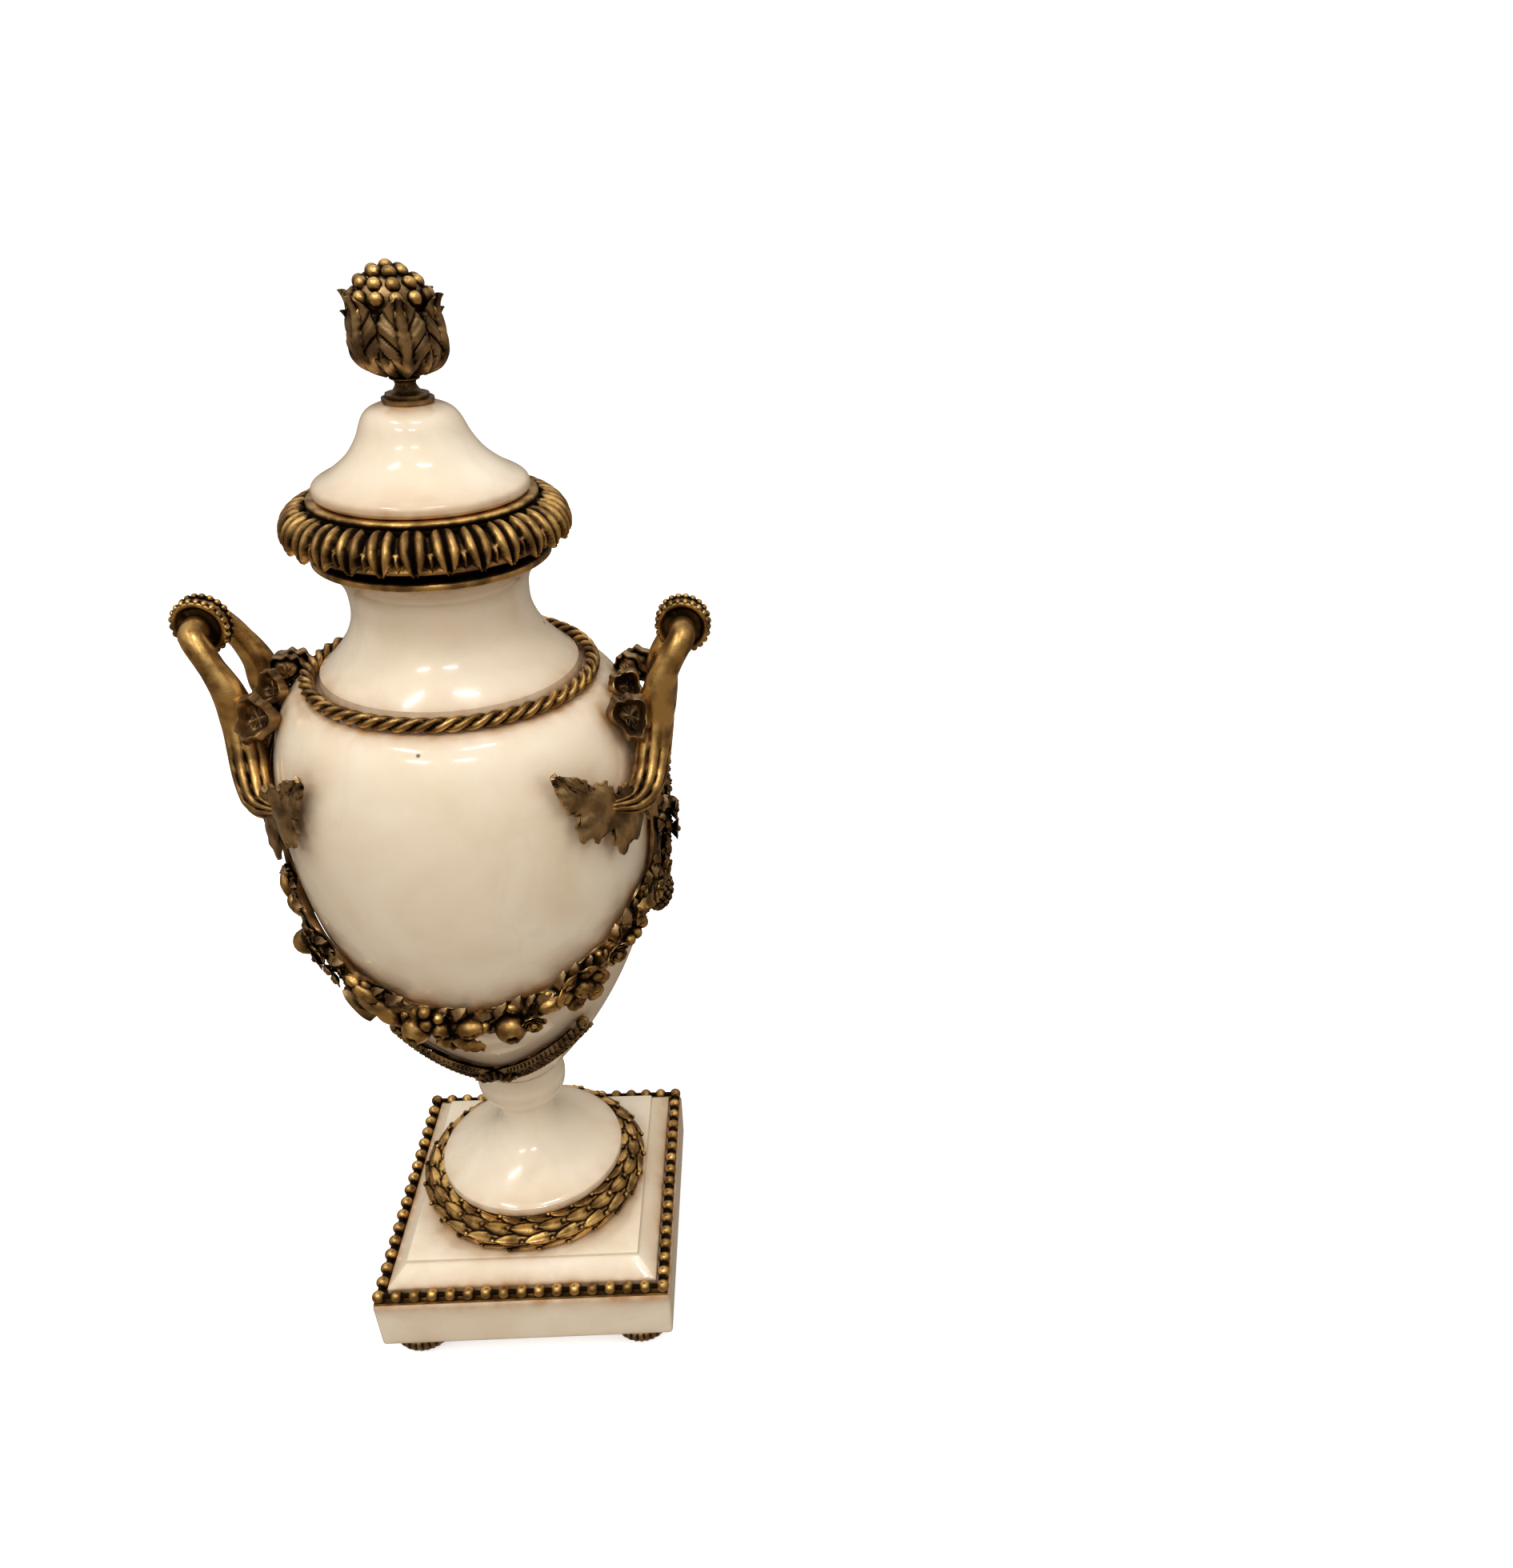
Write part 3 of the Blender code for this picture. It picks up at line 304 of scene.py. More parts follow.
upper_slab = saw_slab("upper_slab", SLAB_HALF, SLAB_BOTTOM, SLAB_EDGE)
bpy.ops.object.mode_set(mode="EDIT")
bpy.ops.mesh.select_mode(type="FACE")
bpy.ops.mesh.select_all(action="DESELECT")
slab_form = bmesh.from_edit_mesh(upper_slab.data)
for face in slab_form.faces:
    face.select = face.normal.z > 0.9
bmesh.update_edit_mesh(upper_slab.data)
bpy.ops.mesh.extrude_region_move(TRANSFORM_OT_translate={"value": (0, 0, SLAB_STEP - SLAB_EDGE)})
bpy.ops.transform.resize(value=(SLAB_TOP_HALF / SLAB_HALF, SLAB_TOP_HALF / SLAB_HALF, 1),
                         center_override=(0, 0, SLAB_STEP))
bpy.ops.mesh.extrude_region_move(TRANSFORM_OT_translate={"value": (0, 0, SLAB_TOP - SLAB_STEP)})
close_mesh()
round_edges(upper_slab, SLAB_WEAR, 2, 18)
cut_finer(upper_slab, SLAB_CUTS)
place_marble(upper_slab, "plinth_top")

# The pedestal.
# A foot disc that sits in the wreath, a concave bell, a thin stem and a thick knop, turned from one piece
# of marble on a lathe and polished; a pin through it holds the vase to the plinth.
GAP = 0.0003
DISC_BOTTOM, DISC_TOP, DISC_RADIUS = 0.0647, 0.0697, 0.0396
SEAT_RADIUS = 0.0355
STEM_BOTTOM, STEM_TOP, STEM_RADIUS = 0.0962, 0.1017, 0.0105
KNOP_TOP, KNOP_RADIUS, KNOP_SWELL = 0.1232, 0.0185, 0.0110
BELL_STEPS, LATHE_STEPS = 24, 160


def turn_on_lathe(name, outline, steps):
    """Draw a ring of points along an outline of (radius, height) pairs, and close its ends."""
    let_go()
    radius, height = outline[0]
    bpy.ops.mesh.primitive_circle_add(vertices=steps, radius=radius, location=(0, 0, height))
    piece = bpy.context.object
    piece.name = name
    fix_place()
    open_mesh()
    for (before, low), (after, high) in zip(outline, outline[1:]):
        bpy.ops.mesh.extrude_edges_move(TRANSFORM_OT_translate={"value": (0, 0, high - low)})
        bpy.ops.transform.resize(value=(after / before, after / before, 1), center_override=(0, 0, high))
    bpy.ops.mesh.select_all(action="SELECT")
    bpy.ops.mesh.remove_doubles(threshold=0.00001)
    bpy.ops.mesh.select_all(action="DESELECT")
    bpy.ops.mesh.select_mode(type="EDGE")
    bpy.ops.mesh.select_non_manifold(extend=False)
    bpy.ops.mesh.edge_face_add()
    bpy.ops.mesh.select_all(action="SELECT")
    bpy.ops.mesh.fill_holes(sides=0)
    bpy.ops.mesh.normals_make_consistent(inside=False)
    close_mesh()
    return piece


def soft_line(points, steps):
    """A smooth line through points, which are tuples of numbers."""
    ends = [points[0], *points, points[-1]]
    line = []
    for before, start, end, after in zip(ends, ends[1:], ends[2:], ends[3:]):
        for step in range(steps):
            t = step / steps
            line.append(tuple(0.5 * (2 * b + (c - a) * t + (2 * a - 5 * b + 4 * c - d) * t ** 2
                                     + (3 * b - a - 3 * c + d) * t ** 3)
                              for a, b, c, d in zip(before, start, end, after)))
    line.append(points[-1])
    return line


pedestal_outline = [(SEAT_RADIUS, SLAB_TOP + GAP), (SEAT_RADIUS, DISC_BOTTOM)]
pedestal_outline += soft_line([(DISC_RADIUS * 0.985, DISC_BOTTOM), (DISC_RADIUS * 0.999, DISC_BOTTOM + 0.0014),
                               (DISC_RADIUS, DISC_TOP - 0.0020), (DISC_RADIUS * 0.994, DISC_TOP - 0.0006)], 3)
for step in range(BELL_STEPS + 1):
    share = 1 - step / BELL_STEPS
    pedestal_outline.append((STEM_RADIUS + (DISC_RADIUS - STEM_RADIUS) * share ** 2.3 * 0.97,
                             STEM_BOTTOM - share * (STEM_BOTTOM - DISC_TOP)))
for turn in range(90, -1, -6):
    swell = math.cos(math.radians(turn))
    pedestal_outline.append((STEM_RADIUS + 0.0006 + (KNOP_RADIUS - STEM_RADIUS - 0.0006) * swell,
                             STEM_TOP + KNOP_SWELL * (1 - math.sin(math.radians(turn)))))
pedestal_outline += soft_line([(KNOP_RADIUS, 0.1135), (KNOP_RADIUS * 0.985, 0.1160),
                               (KNOP_RADIUS * 0.99, 0.1195), (KNOP_RADIUS, KNOP_TOP)], 3)
place_marble(turn_on_lathe("turned_pedestal", pedestal_outline, LATHE_STEPS), "pedestal")

# The body of the vase.
# One block of marble turned to an egg, hollowed from its mouth and polished; it carries all the body's
# mounts. The shape is an elliptic shoulder above the belly and a long taper under it.
BODY_BOTTOM, BELLY, BODY_TOP = 0.1235, 0.2520, 0.2985
BODY_LOW_RADIUS, BELLY_RADIUS, SEAT_ON_TOP = 0.0185, 0.0662, 0.0482
BODY_WALL, BODY_FLOOR, MOUTH_RADIUS = 0.0080, 0.018, 0.0300


def body_radius(height):
    if height >= BELLY:
        share = min((height - BELLY) / (BODY_TOP - BELLY), 1.0)
        return SEAT_ON_TOP + (BELLY_RADIUS - SEAT_ON_TOP) * math.sqrt(1 - share ** 2)
    share = min((BELLY - height) / (BELLY - BODY_BOTTOM), 1.0)
    return BODY_LOW_RADIUS + (BELLY_RADIUS - BODY_LOW_RADIUS) * (1 - share ** 2.12)


body_heights = [BODY_BOTTOM + (BELLY - BODY_BOTTOM) * step / 80 for step in range(80)]
body_heights += [BELLY + (BODY_TOP - BELLY) * math.sin(math.radians(turn)) for turn in range(0, 90, 2)]
body_outline = [(body_radius(height), height) for height in body_heights]
body_outline += [(SEAT_ON_TOP, BODY_TOP), (MOUTH_RADIUS, BODY_TOP), (MOUTH_RADIUS, BODY_TOP - BODY_WALL)]
inner_top = BODY_TOP - BODY_WALL - 0.001
for step in range(16):
    height = inner_top - (inner_top - BODY_BOTTOM - BODY_FLOOR) * step / 15
    body_outline.append((body_radius(height) - BODY_WALL, height))
place_marble(turn_on_lathe("turned_body", body_outline, LATHE_STEPS), "urn_body")

# The neck.
# A waisted ring of marble, turned and polished, that stands inside the twisted ring on the shoulder
# and carries the bronze collar.
NECK_BOTTOM, NECK_TOP, NECK_WAIST, NECK_EDGE = 0.2988, 0.3403, 0.3260, 0.0042
NECK_FOOT_RADIUS, WAIST_RADIUS, NECK_TOP_RADIUS, COLLAR_BORE = 0.0438, 0.0290, 0.0365, 0.0290
FLARE_STEPS, THROAT_STEPS = 32, 16

neck_outline = [(MOUTH_RADIUS, NECK_BOTTOM), (NECK_FOOT_RADIUS - 0.0008, NECK_BOTTOM),
                (NECK_FOOT_RADIUS, NECK_BOTTOM + 0.0010), (NECK_FOOT_RADIUS, NECK_BOTTOM + 0.0026),
                (NECK_FOOT_RADIUS - 0.0006, NECK_BOTTOM + 0.0036)]
for step in range(1, FLARE_STEPS + 1):
    share = 1 - step / FLARE_STEPS
    neck_outline.append((WAIST_RADIUS + (NECK_FOOT_RADIUS - WAIST_RADIUS) * share ** 1.95,
                         NECK_WAIST - share * (NECK_WAIST - NECK_BOTTOM - NECK_EDGE)))
for step in range(1, THROAT_STEPS + 1):
    share = step / THROAT_STEPS
    neck_outline.append((WAIST_RADIUS + (NECK_TOP_RADIUS - WAIST_RADIUS) * share ** 3.2,
                         NECK_WAIST + share * (NECK_TOP - NECK_WAIST)))
neck_outline += [(COLLAR_BORE, NECK_TOP), (WAIST_RADIUS - 0.0065, NECK_WAIST), (MOUTH_RADIUS, NECK_BOTTOM)]
place_marble(turn_on_lathe("turned_neck", neck_outline, LATHE_STEPS), "neck")

# The lid.
# A bell of marble, turned hollow and polished, with a lip on its underside that drops into the collar.
# It lifts off with the finial, which is pinned through its top.
LID_BOTTOM, LID_TOP = 0.3609, 0.3872
LID_RADIUS, LID_TOP_RADIUS = 0.0335, 0.0084
LIP_RADIUS, LIP_BORE, LIP_DEPTH = 0.0284, 0.0254, 0.004

lid_edge = LID_RADIUS - LID_TOP_RADIUS
lid_height = LID_TOP - LID_BOTTOM
lid_outline = [(LIP_BORE, LID_BOTTOM - LIP_DEPTH), (LIP_RADIUS, LID_BOTTOM - LIP_DEPTH),
               (LIP_RADIUS, LID_BOTTOM), (LID_RADIUS - 0.0010, LID_BOTTOM),
               (LID_RADIUS - 0.0002, LID_BOTTOM + 0.0007)]
for spread, rise in soft_line([(1.00, 0.05), (0.965, 0.14), (0.76, 0.25), (0.53, 0.42), (0.37, 0.62),
                               (0.26, 0.84), (0.16, 0.94), (0.0, 1.0)], 7):
    lid_outline.append((LID_TOP_RADIUS + lid_edge * spread, LID_BOTTOM + rise * lid_height))
lid_outline += [(0.0030, LID_TOP), (0.0030, LID_TOP - 0.005), (0.0100, LID_TOP - 0.006),
                (0.0150, LID_TOP - 0.012), (0.0230, LID_BOTTOM + 0.004), (LIP_BORE, LID_BOTTOM - LIP_DEPTH)]
place_marble(turn_on_lathe("turned_lid", lid_outline, LATHE_STEPS), "lid")

# The bead border.
# A square frame of bronze with a row of round beads joined by short links, cast in strips and laid in the
# step between the two slabs. The gilt of all the bronze is worn, bright on the crests and brown in the hollows,
# and painted shade darkens the hollows further.
BORDER_HALF, BEAD, BEADS_PER_SIDE = 0.0600, 0.0027, 16
BEAD_HEIGHT, LINK_RADIUS = 0.0414, 0.0011
STRIP_WIDTH, STRIP_THICKNESS = 0.0044, 0.0012


def old_bronze(name, bright, mid, recess, roughness):
    """Fire-gilt bronze, worn gilt plus painted shade: it darkens by how shut in each of its points is, and in
    patches.
    """
    material = bpy.data.materials.new(name)
    material.use_nodes = True
    tree = material.node_tree
    place = tree.nodes.new("ShaderNodeTexCoord").outputs["Object"]
    patches = spread_out(tree, add_noise(tree, place, 130.0, 6.0), 0.30, 0.70, -0.12, 0.38)
    # Worn gilt and painted shade together: the kept amount darkens each point by how closed in it is, plus
    # random patches.
    darkened = add_math(tree, "ADD", kept_value(tree, "tarnish_and_shade"), patches)
    darkened.use_clamp = True
    amount = darkened.outputs[0]
    grain = add_node(tree, "ShaderNodeBump", Strength=0.22, Distance=0.0002,
                     Height=add_noise(tree, place, 1400.0, 3.0))
    set_inputs(tree, tree.nodes["Principled BSDF"], Metallic=1.0,
               Base_Color=add_ramp(tree, amount, (0.0, bright), (0.24, mid), (0.62, recess)),
               Roughness=spread_out(tree, amount, 0.0, 1.0, roughness, 0.72), Normal=grain.outputs["Normal"])
    return material


# Each finish is a material and the slot that it stands for.
GILT = (old_bronze("gilt bronze", (0.78, 0.48, 0.16), (0.28, 0.155, 0.050), (0.020, 0.011, 0.006), 0.27),
        "gilt_bronze")
BROWN = (old_bronze("brown bronze", (0.52, 0.34, 0.155), (0.19, 0.115, 0.052), (0.016, 0.010, 0.006), 0.34),
         "dark_bronze")
bronze_pieces = []


def duplicate(pattern, place):
    """A copy of a pattern with its own mesh, moved by a matrix."""
    piece = pattern.copy()
    piece.data = pattern.data.copy()
    bpy.context.scene.collection.objects.link(piece)
    piece.data.transform(place)
    return piece


def put_away(*patterns):
    """Take out the patterns that copies were made from."""
    for pattern in patterns:
        bpy.data.objects.remove(pattern)


def cast_together(name, parts):
    """Join parts into one casting."""
    let_go()
    for part in parts:
        part.select_set(True)
    bpy.context.view_layer.objects.active = parts[0]
    bpy.ops.object.join()
    parts[0].name = name
    return parts[0]


def place_bronze(piece, finish, *nodes):
    """Finish a casting: smooth where it curves, in bronze, in the place of its solids."""
    material, slot = finish
    take(piece)
    fix_place()
    bpy.ops.object.shade_smooth_by_angle(angle=math.radians(50))
    piece.data.materials.clear()
    piece.data.materials.append(material)
    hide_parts(*nodes)
    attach(piece, "root")
    bronze_pieces.append(piece)


def ball(radius, segments, rings, stretch=(1, 1, 1)):
    let_go()
    bpy.ops.mesh.primitive_uv_sphere_add(segments=segments, ring_count=rings, radius=radius)
    piece = bpy.context.object
    piece.scale = stretch
    fix_place()
    return piece


let_go()
bpy.ops.mesh.primitive_plane_add(size=2 * BORDER_HALF + 0.0042, location=(0, 0, BASE_TOP + GAP))
strip = bpy.context.object
fix_place()
bpy.ops.object.mode_set(mode="EDIT")
bpy.ops.mesh.select_mode(type="FACE")
bpy.ops.mesh.select_all(action="SELECT")
bpy.ops.mesh.inset(thickness=STRIP_WIDTH)
bpy.ops.mesh.delete(type="FACE")
bpy.ops.mesh.select_all(action="SELECT")
bpy.ops.mesh.extrude_region_move(TRANSFORM_OT_translate={"value": (0, 0, STRIP_THICKNESS)})
bpy.ops.mesh.select_all(action="SELECT")
bpy.ops.mesh.normals_make_consistent(inside=False)
close_mesh()
bead = ball(BEAD, 18, 12)
pitch = 2 * BORDER_HALF / BEADS_PER_SIDE
let_go()
bpy.ops.mesh.primitive_cylinder_add(vertices=10, radius=LINK_RADIUS, depth=pitch - 1.6 * BEAD,
                                    location=(pitch / 2, 0, 0), rotation=(0, math.pi / 2, 0))
link = bpy.context.object
fix_place()
parts = [strip]
for side in range(4):
    quarter = Matrix.Rotation(side * math.pi / 2, 4, "Z")
    for step in range(BEADS_PER_SIDE):
        place = quarter @ Matrix.Translation((-BORDER_HALF + step * pitch, -BORDER_HALF, BEAD_HEIGHT))
        parts += [duplicate(bead, place), duplicate(link, place)]
put_away(bead, link)
place_bronze(cast_together("bead_rows", parts), GILT, "bead_border")

# The feet.
# Four flattened buns of bronze with narrow flutes, screwed under the lower slab; dark in the flutes, partly
# patina and partly painted shade.
FOOT_PLACE, FOOT_FLUTES, FLUTE_DEPTH = 0.0484, 28, 0.075

foot_outline = soft_line([(0.0084, 0.0), (0.0098, 0.0012), (0.0118, 0.0034), (0.0133, 0.0066),
                          (0.0132, 0.0090), (0.0118, 0.0104), (0.0104, 0.0106), (0.0102, 0.0117)], 3)
foot = turn_on_lathe("foot", foot_outline, 6 * FOOT_FLUTES)


def reshape(piece, rule):
    """Push every point of a piece to where rule(point) puts it, as with a chasing tool."""
    for vertex in piece.data.vertices:
        vertex.co = rule(vertex.co.copy())


def held(value):
    """A value held between 0 and 1."""
    return min(max(value, 0.0), 1.0)


def flute(point):
    share = held((point.z - 0.0008) / 0.002) * held((0.0102 - point.z) / 0.001)
    around = math.atan2(point.y, point.x)
    cut = 1 - FLUTE_DEPTH * share * (1 - abs(math.cos(FOOT_FLUTES * around / 2)) ** 0.7)
    return Vector((point.x * cut, point.y * cut, point.z))


reshape(foot, flute)
for number, (x, y) in enumerate(((-1, -1), (1, -1), (1, 1), (-1, 1)), start=1):
    bun = duplicate(foot, Matrix.Translation((x * FOOT_PLACE, y * FOOT_PLACE, 0)))
    bun.name = f"fluted_foot_{number}"
    place_bronze(bun, BROWN, f"bun_foot_{number}")
put_away(foot)

# The laurel wreath.
# A ring of bronze chased with rows of overlapping laurel leaves, each with a midrib and a berry at its
# tip; it holds the pedestal's seat and lies on the upper slab.
WREATH_RADIUS, WREATH_MINOR, WREATH_BOTTOM, WREATH_ROWS = 0.0422, 0.0062, 0.0514, 24
WREATH_CORE = WREATH_MINOR - 0.0007
LAUREL_LENGTH, LAUREL_WIDTH, LAUREL_BERRY = 0.0158, 0.0037, 0.00115


def on_wreath(around, across, proud):
    """A point of the wreath's skin: along it, round its section (0 outwards, up from there) and off it."""
    reach = WREATH_RADIUS + (WREATH_CORE + proud) * math.cos(across)
    return Vector((reach * math.cos(around), reach * math.sin(around),
                   WREATH_BOTTOM + WREATH_MINOR + (WREATH_CORE + proud) * math.sin(across)))


def flat_underneath(point):
    """The wreath is filed flat where it lies on the slab."""
    return Vector((point.x, point.y, max(point.z, WREATH_BOTTOM)))


def cast_ring(name, radius, thickness, around, across, height):
    """A plain round ring, to be chased later."""
    let_go()
    bpy.ops.mesh.primitive_torus_add(major_radius=radius, minor_radius=thickness, major_segments=around,
                                     minor_segments=across, location=(0, 0, height))
    ring = bpy.context.object
    ring.name = name
    fix_place()
    return ring


def press_leaf(name, along, across, thickness, rule):
    """A grid of metal pressed to rule(share along, side from -1 to 1), then given its thickness."""
    let_go()
    bpy.ops.mesh.primitive_grid_add(x_subdivisions=along, y_subdivisions=across, size=2)
    piece = bpy.context.object
    piece.name = name
    reshape(piece, lambda point: Vector(rule((point.x + 1) / 2, point.y)))
    open_mesh()
    bpy.ops.mesh.remove_doubles(threshold=0.00002)
    close_mesh()
    metal = piece.modifiers.new("metal", "SOLIDIFY")
    metal.thickness = thickness
    metal.offset = -1.0
    apply_modifiers(piece)
    return piece


def laurel(share, side):
    width = LAUREL_WIDTH * max(0.0, math.sin(math.pi * (0.14 + 0.86 * share))) ** 0.9
    rib = 0.0009 * max(0.0, 1 - abs(side) * 4.5)
    vein = 0.00016 * math.cos(2 * math.pi * (6 * share - 1.2 * abs(side))) * abs(side)
    crown = 0.0008 * math.sin(math.pi * min(1.0, abs(side) + 0.12)) + 0.0013 * share
    return share * LAUREL_LENGTH, side * width, rib + vein + crown


laurel_leaf = press_leaf("laurel", 12, 8, 0.0006, laurel)
laurel_berry = ball(LAUREL_BERRY, 12, 8)
parts = [cast_ring("wreath core", WREATH_RADIUS, WREATH_CORE, 120, 20, WREATH_BOTTOM + WREATH_MINOR)]
reshape(parts[0], flat_underneath)
for row, across in enumerate((-34, 16, 66, 112)):
    for step in range(WREATH_ROWS):
        start = 2 * math.pi * (step + 0.5 * (row % 2)) / WREATH_ROWS
        leaf = duplicate(laurel_leaf, Matrix())
        reshape(leaf, lambda point: on_wreath(start - point.x / WREATH_RADIUS,
                                              math.radians(across) - point.y / WREATH_MINOR, point.z - 0.0002))
        tip = on_wreath(start - LAUREL_LENGTH / WREATH_RADIUS, math.radians(across), 0.0016)
        parts += [leaf, duplicate(laurel_berry, Matrix.Translation(tip))]
put_away(laurel_leaf, laurel_berry)
wreath = cast_together("laurel_ring", parts)
reshape(wreath, flat_underneath)
place_bronze(wreath, GILT, "laurel_wreath")

# The twisted ring.
# A thick bronze rope of three strands, bent round the foot of the neck on the shoulder of the vase.
ROPE_RING, ROPE_RADIUS, ROPE_TURNS = 0.0476, 0.0026, 52
ROPE_UP = BODY_TOP + GAP + ROPE_RADIUS

rope = cast_ring("twisted_ring", ROPE_RING, ROPE_RADIUS, 4 * ROPE_TURNS, 16, ROPE_UP)
cut_finer(rope, 1)


def ring_place(point, radius, height):
    """Where a point is on a ring: along it, the ring's core there, and the arm from core to point."""
    around = math.atan2(point.y, point.x)
    out = Vector((math.cos(around), math.sin(around), 0))
    core = out * radius + Vector((0, 0, height))
    arm = point - core
    return around, core, arm, math.atan2(arm.z, arm.dot(out))


def twist(point):
    around, core, arm, across = ring_place(point, ROPE_RING, ROPE_UP)
    strand = abs(math.cos((3 * across - ROPE_TURNS * around) / 2)) ** 0.8
    return core + arm * (0.36 + 0.66 * strand)


reshape(rope, twist)
place_bronze(rope, GILT, "rope_ring")

# The rim collar.
# A heavy bronze ring under the lid: a plain band, a roll chased with 28 ribbed leaves that curve over it
# to a point, with smaller tips between them, a hollow darkened partly by painted shade, and a plain fillet on
# the neck.
COLLAR_BOTTOM, COLLAR_TOP, COLLAR_LEAVES = 0.3406, 0.3606, 28
COLLAR_CORE, COLLAR_ROLL, COLLAR_UP = 0.0370, 0.0085, (COLLAR_BOTTOM + COLLAR_TOP) / 2
# degrees round the roll, from outwards to up
LEAF_ROOT, LEAF_TIP = 100, -42
ROOT_GROUND, GROUND_FALL, TIP_GROUND = 0.74, 0.16, 0.58
LEAF_EDGE, LEAF_START, LEAF_TAPER, LEAF_GROOVE = 0.84, 0.12, 0.42, 0.09
SMALL_TIP_START, SMALL_TIP_END = 0.44, 0.86

roll = cast_ring("roll", COLLAR_CORE, COLLAR_ROLL, 9 * COLLAR_LEAVES, 40, COLLAR_UP)
cut_finer(roll, 1)


def leaf_relief(side, share):
    """Height of the chased leaves, side from -1 to 1 across one leaf, share from its root to its tip."""
    edge = LEAF_EDGE
    if share < LEAF_START:
        edge *= math.sqrt(max(0.0, 1 - ((LEAF_START - share) / LEAF_START) ** 2))
    elif share > LEAF_TAPER:
        edge *= 1 - ((share - LEAF_TAPER) / 0.52) ** 2
    if edge > 0 and abs(side) < edge:
        half_leaf = math.sin(math.pi * held((abs(side) / edge - LEAF_GROOVE) / 0.91)) ** 0.6
        return 0.16 + 0.84 * half_leaf
    between = 1 - abs(side)
    if SMALL_TIP_START < share < SMALL_TIP_END:
        reach = 0.26 * (1 - ((share - SMALL_TIP_START) / 0.42) ** 2)
        if between < reach:
            rise = min(1.0, (share - SMALL_TIP_START) / 0.16)
            return 0.62 * rise * math.sqrt(1 - (between / reach) ** 2)
    return 0.0


def chase_collar(point):
    around, core, arm, across = ring_place(point, COLLAR_CORE, COLLAR_UP)
    across = math.degrees(across)
    if across >= LEAF_ROOT:
        return core + arm * ROOT_GROUND
    if across <= LEAF_TIP:
        return core + arm * TIP_GROUND
    side = ((around * COLLAR_LEAVES / (2 * math.pi)) % 1) * 2 - 1
    share = (LEAF_ROOT - across) / (LEAF_ROOT - LEAF_TIP)
    ground = ROOT_GROUND - GROUND_FALL * share ** 3
    return core + arm * (ground + (1 - ground) * leaf_relief(side, share))


reshape(roll, chase_collar)
band = turn_on_lathe("band", [(0.0352, 0.3562), (0.0357, 0.3570), (0.0357, 0.3580), (0.0350, 0.3583),
                              (0.0350, 0.3588), (0.0356, 0.3591), (0.0356, 0.3601), (0.0351, 0.3606),
                              (COLLAR_BORE, 0.3606), (COLLAR_BORE, COLLAR_BOTTOM), (0.0374, COLLAR_BOTTOM),
                              (0.0379, 0.3410), (0.0379, 0.3424), (0.0373, 0.3430), (0.0330, 0.3436),
                              (0.0330, 0.3560), (0.0352, 0.3562)], LATHE_STEPS)
place_bronze(cast_together("leaf_collar", [roll, band]), GILT, "rim_collar")

# The finial.
# A bud of six large and six small acanthus leaves on a turned stalk, cast in bronze and filled with round
# berries that rise in a dome; its pin goes through the lid.
FINIAL_BOTTOM, BUD_BOTTOM, BUD_TOP = 0.3875, 0.3955, 0.4165
BUD_BERRY, BUD_TURN = 0.00225, 22
BUD_PROFILE = soft_line([(0.0052, 0.0), (0.0104, 0.10), (0.0132, 0.26), (0.0137, 0.42), (0.0132, 0.62),
                         (0.0123, 0.82), (0.0119, 1.0)], 6)


def bud_radius(share):
    for (before, low), (after, high) in zip(BUD_PROFILE, BUD_PROFILE[1:]):
        if low <= share <= high:
            return before + (after - before) * (share - low) / (high - low)
    return BUD_PROFILE[-1][0]


stalk_outline = [(0.0077, FINIAL_BOTTOM), (0.0079, FINIAL_BOTTOM + 0.0004), (0.0079, FINIAL_BOTTOM + 0.0012),
                 (0.0066, FINIAL_BOTTOM + 0.0014), (0.0066, FINIAL_BOTTOM + 0.0024),
                 (0.0050, FINIAL_BOTTOM + 0.0027)]
stalk_outline += soft_line([(0.0042, 0.3906), (0.0032, 0.3922), (0.0034, 0.3934), (0.0044, 0.3939),
                            (0.0045, 0.3945), (0.0036, 0.3950), (0.0050, 0.3956)], 3)
stalk_outline += [(bud_radius(share / 20) - 0.0016, BUD_BOTTOM + share / 20 * (BUD_TOP - BUD_BOTTOM))
                  for share in range(1, 21)]
stalk_outline += soft_line([(0.0090, BUD_TOP + 0.0030), (0.0045, BUD_TOP + 0.0056)], 3)
stalk = turn_on_lathe("stalk", stalk_outline, 48)


def acanthus(spread, lobes, length, lift):
    """How a leaf of the bud is chased: lobed edges, a strong midrib, side veins and a curled tip."""
    def rule(share, side):
        width = spread * (math.sin(math.pi * min(0.22 + 0.58 * share, 1.0)) ** 0.8) * (1 - 0.92 * share ** 6)
        lobe = (lobes * share + 0.15 - 0.85 * abs(side)) % 1
        round_lobe = math.sin(math.pi * lobe) ** 0.8
        width *= 1 - 0.30 * (1 - round_lobe) * (1 - share)
        height = BUD_BOTTOM + length * share * (BUD_TOP - BUD_BOTTOM) + 0.0022 * abs(side) * (1 - share)
        around = side * width / bud_radius(min(share, 1.0)) - math.pi / 2
        rib = 0.0020 * max(0.0, 1 - abs(side) * 4.2) ** 0.7
        swell = 0.0013 * round_lobe * min(1.0, abs(side) * 2.6) * (1 - 0.5 * share)
        vein = 0.00016 * math.cos(2 * math.pi * (lobes * 3 * share - 2.5 * abs(side))) * min(1.0, abs(side) * 3)
        reach = bud_radius(share) - 0.0008 + lift + rib + swell + vein + 0.0024 * share ** 9
        return reach * math.cos(around), reach * math.sin(around), height
    return rule


def spun(degrees):
    return Matrix.Rotation(math.radians(degrees), 4, "Z")


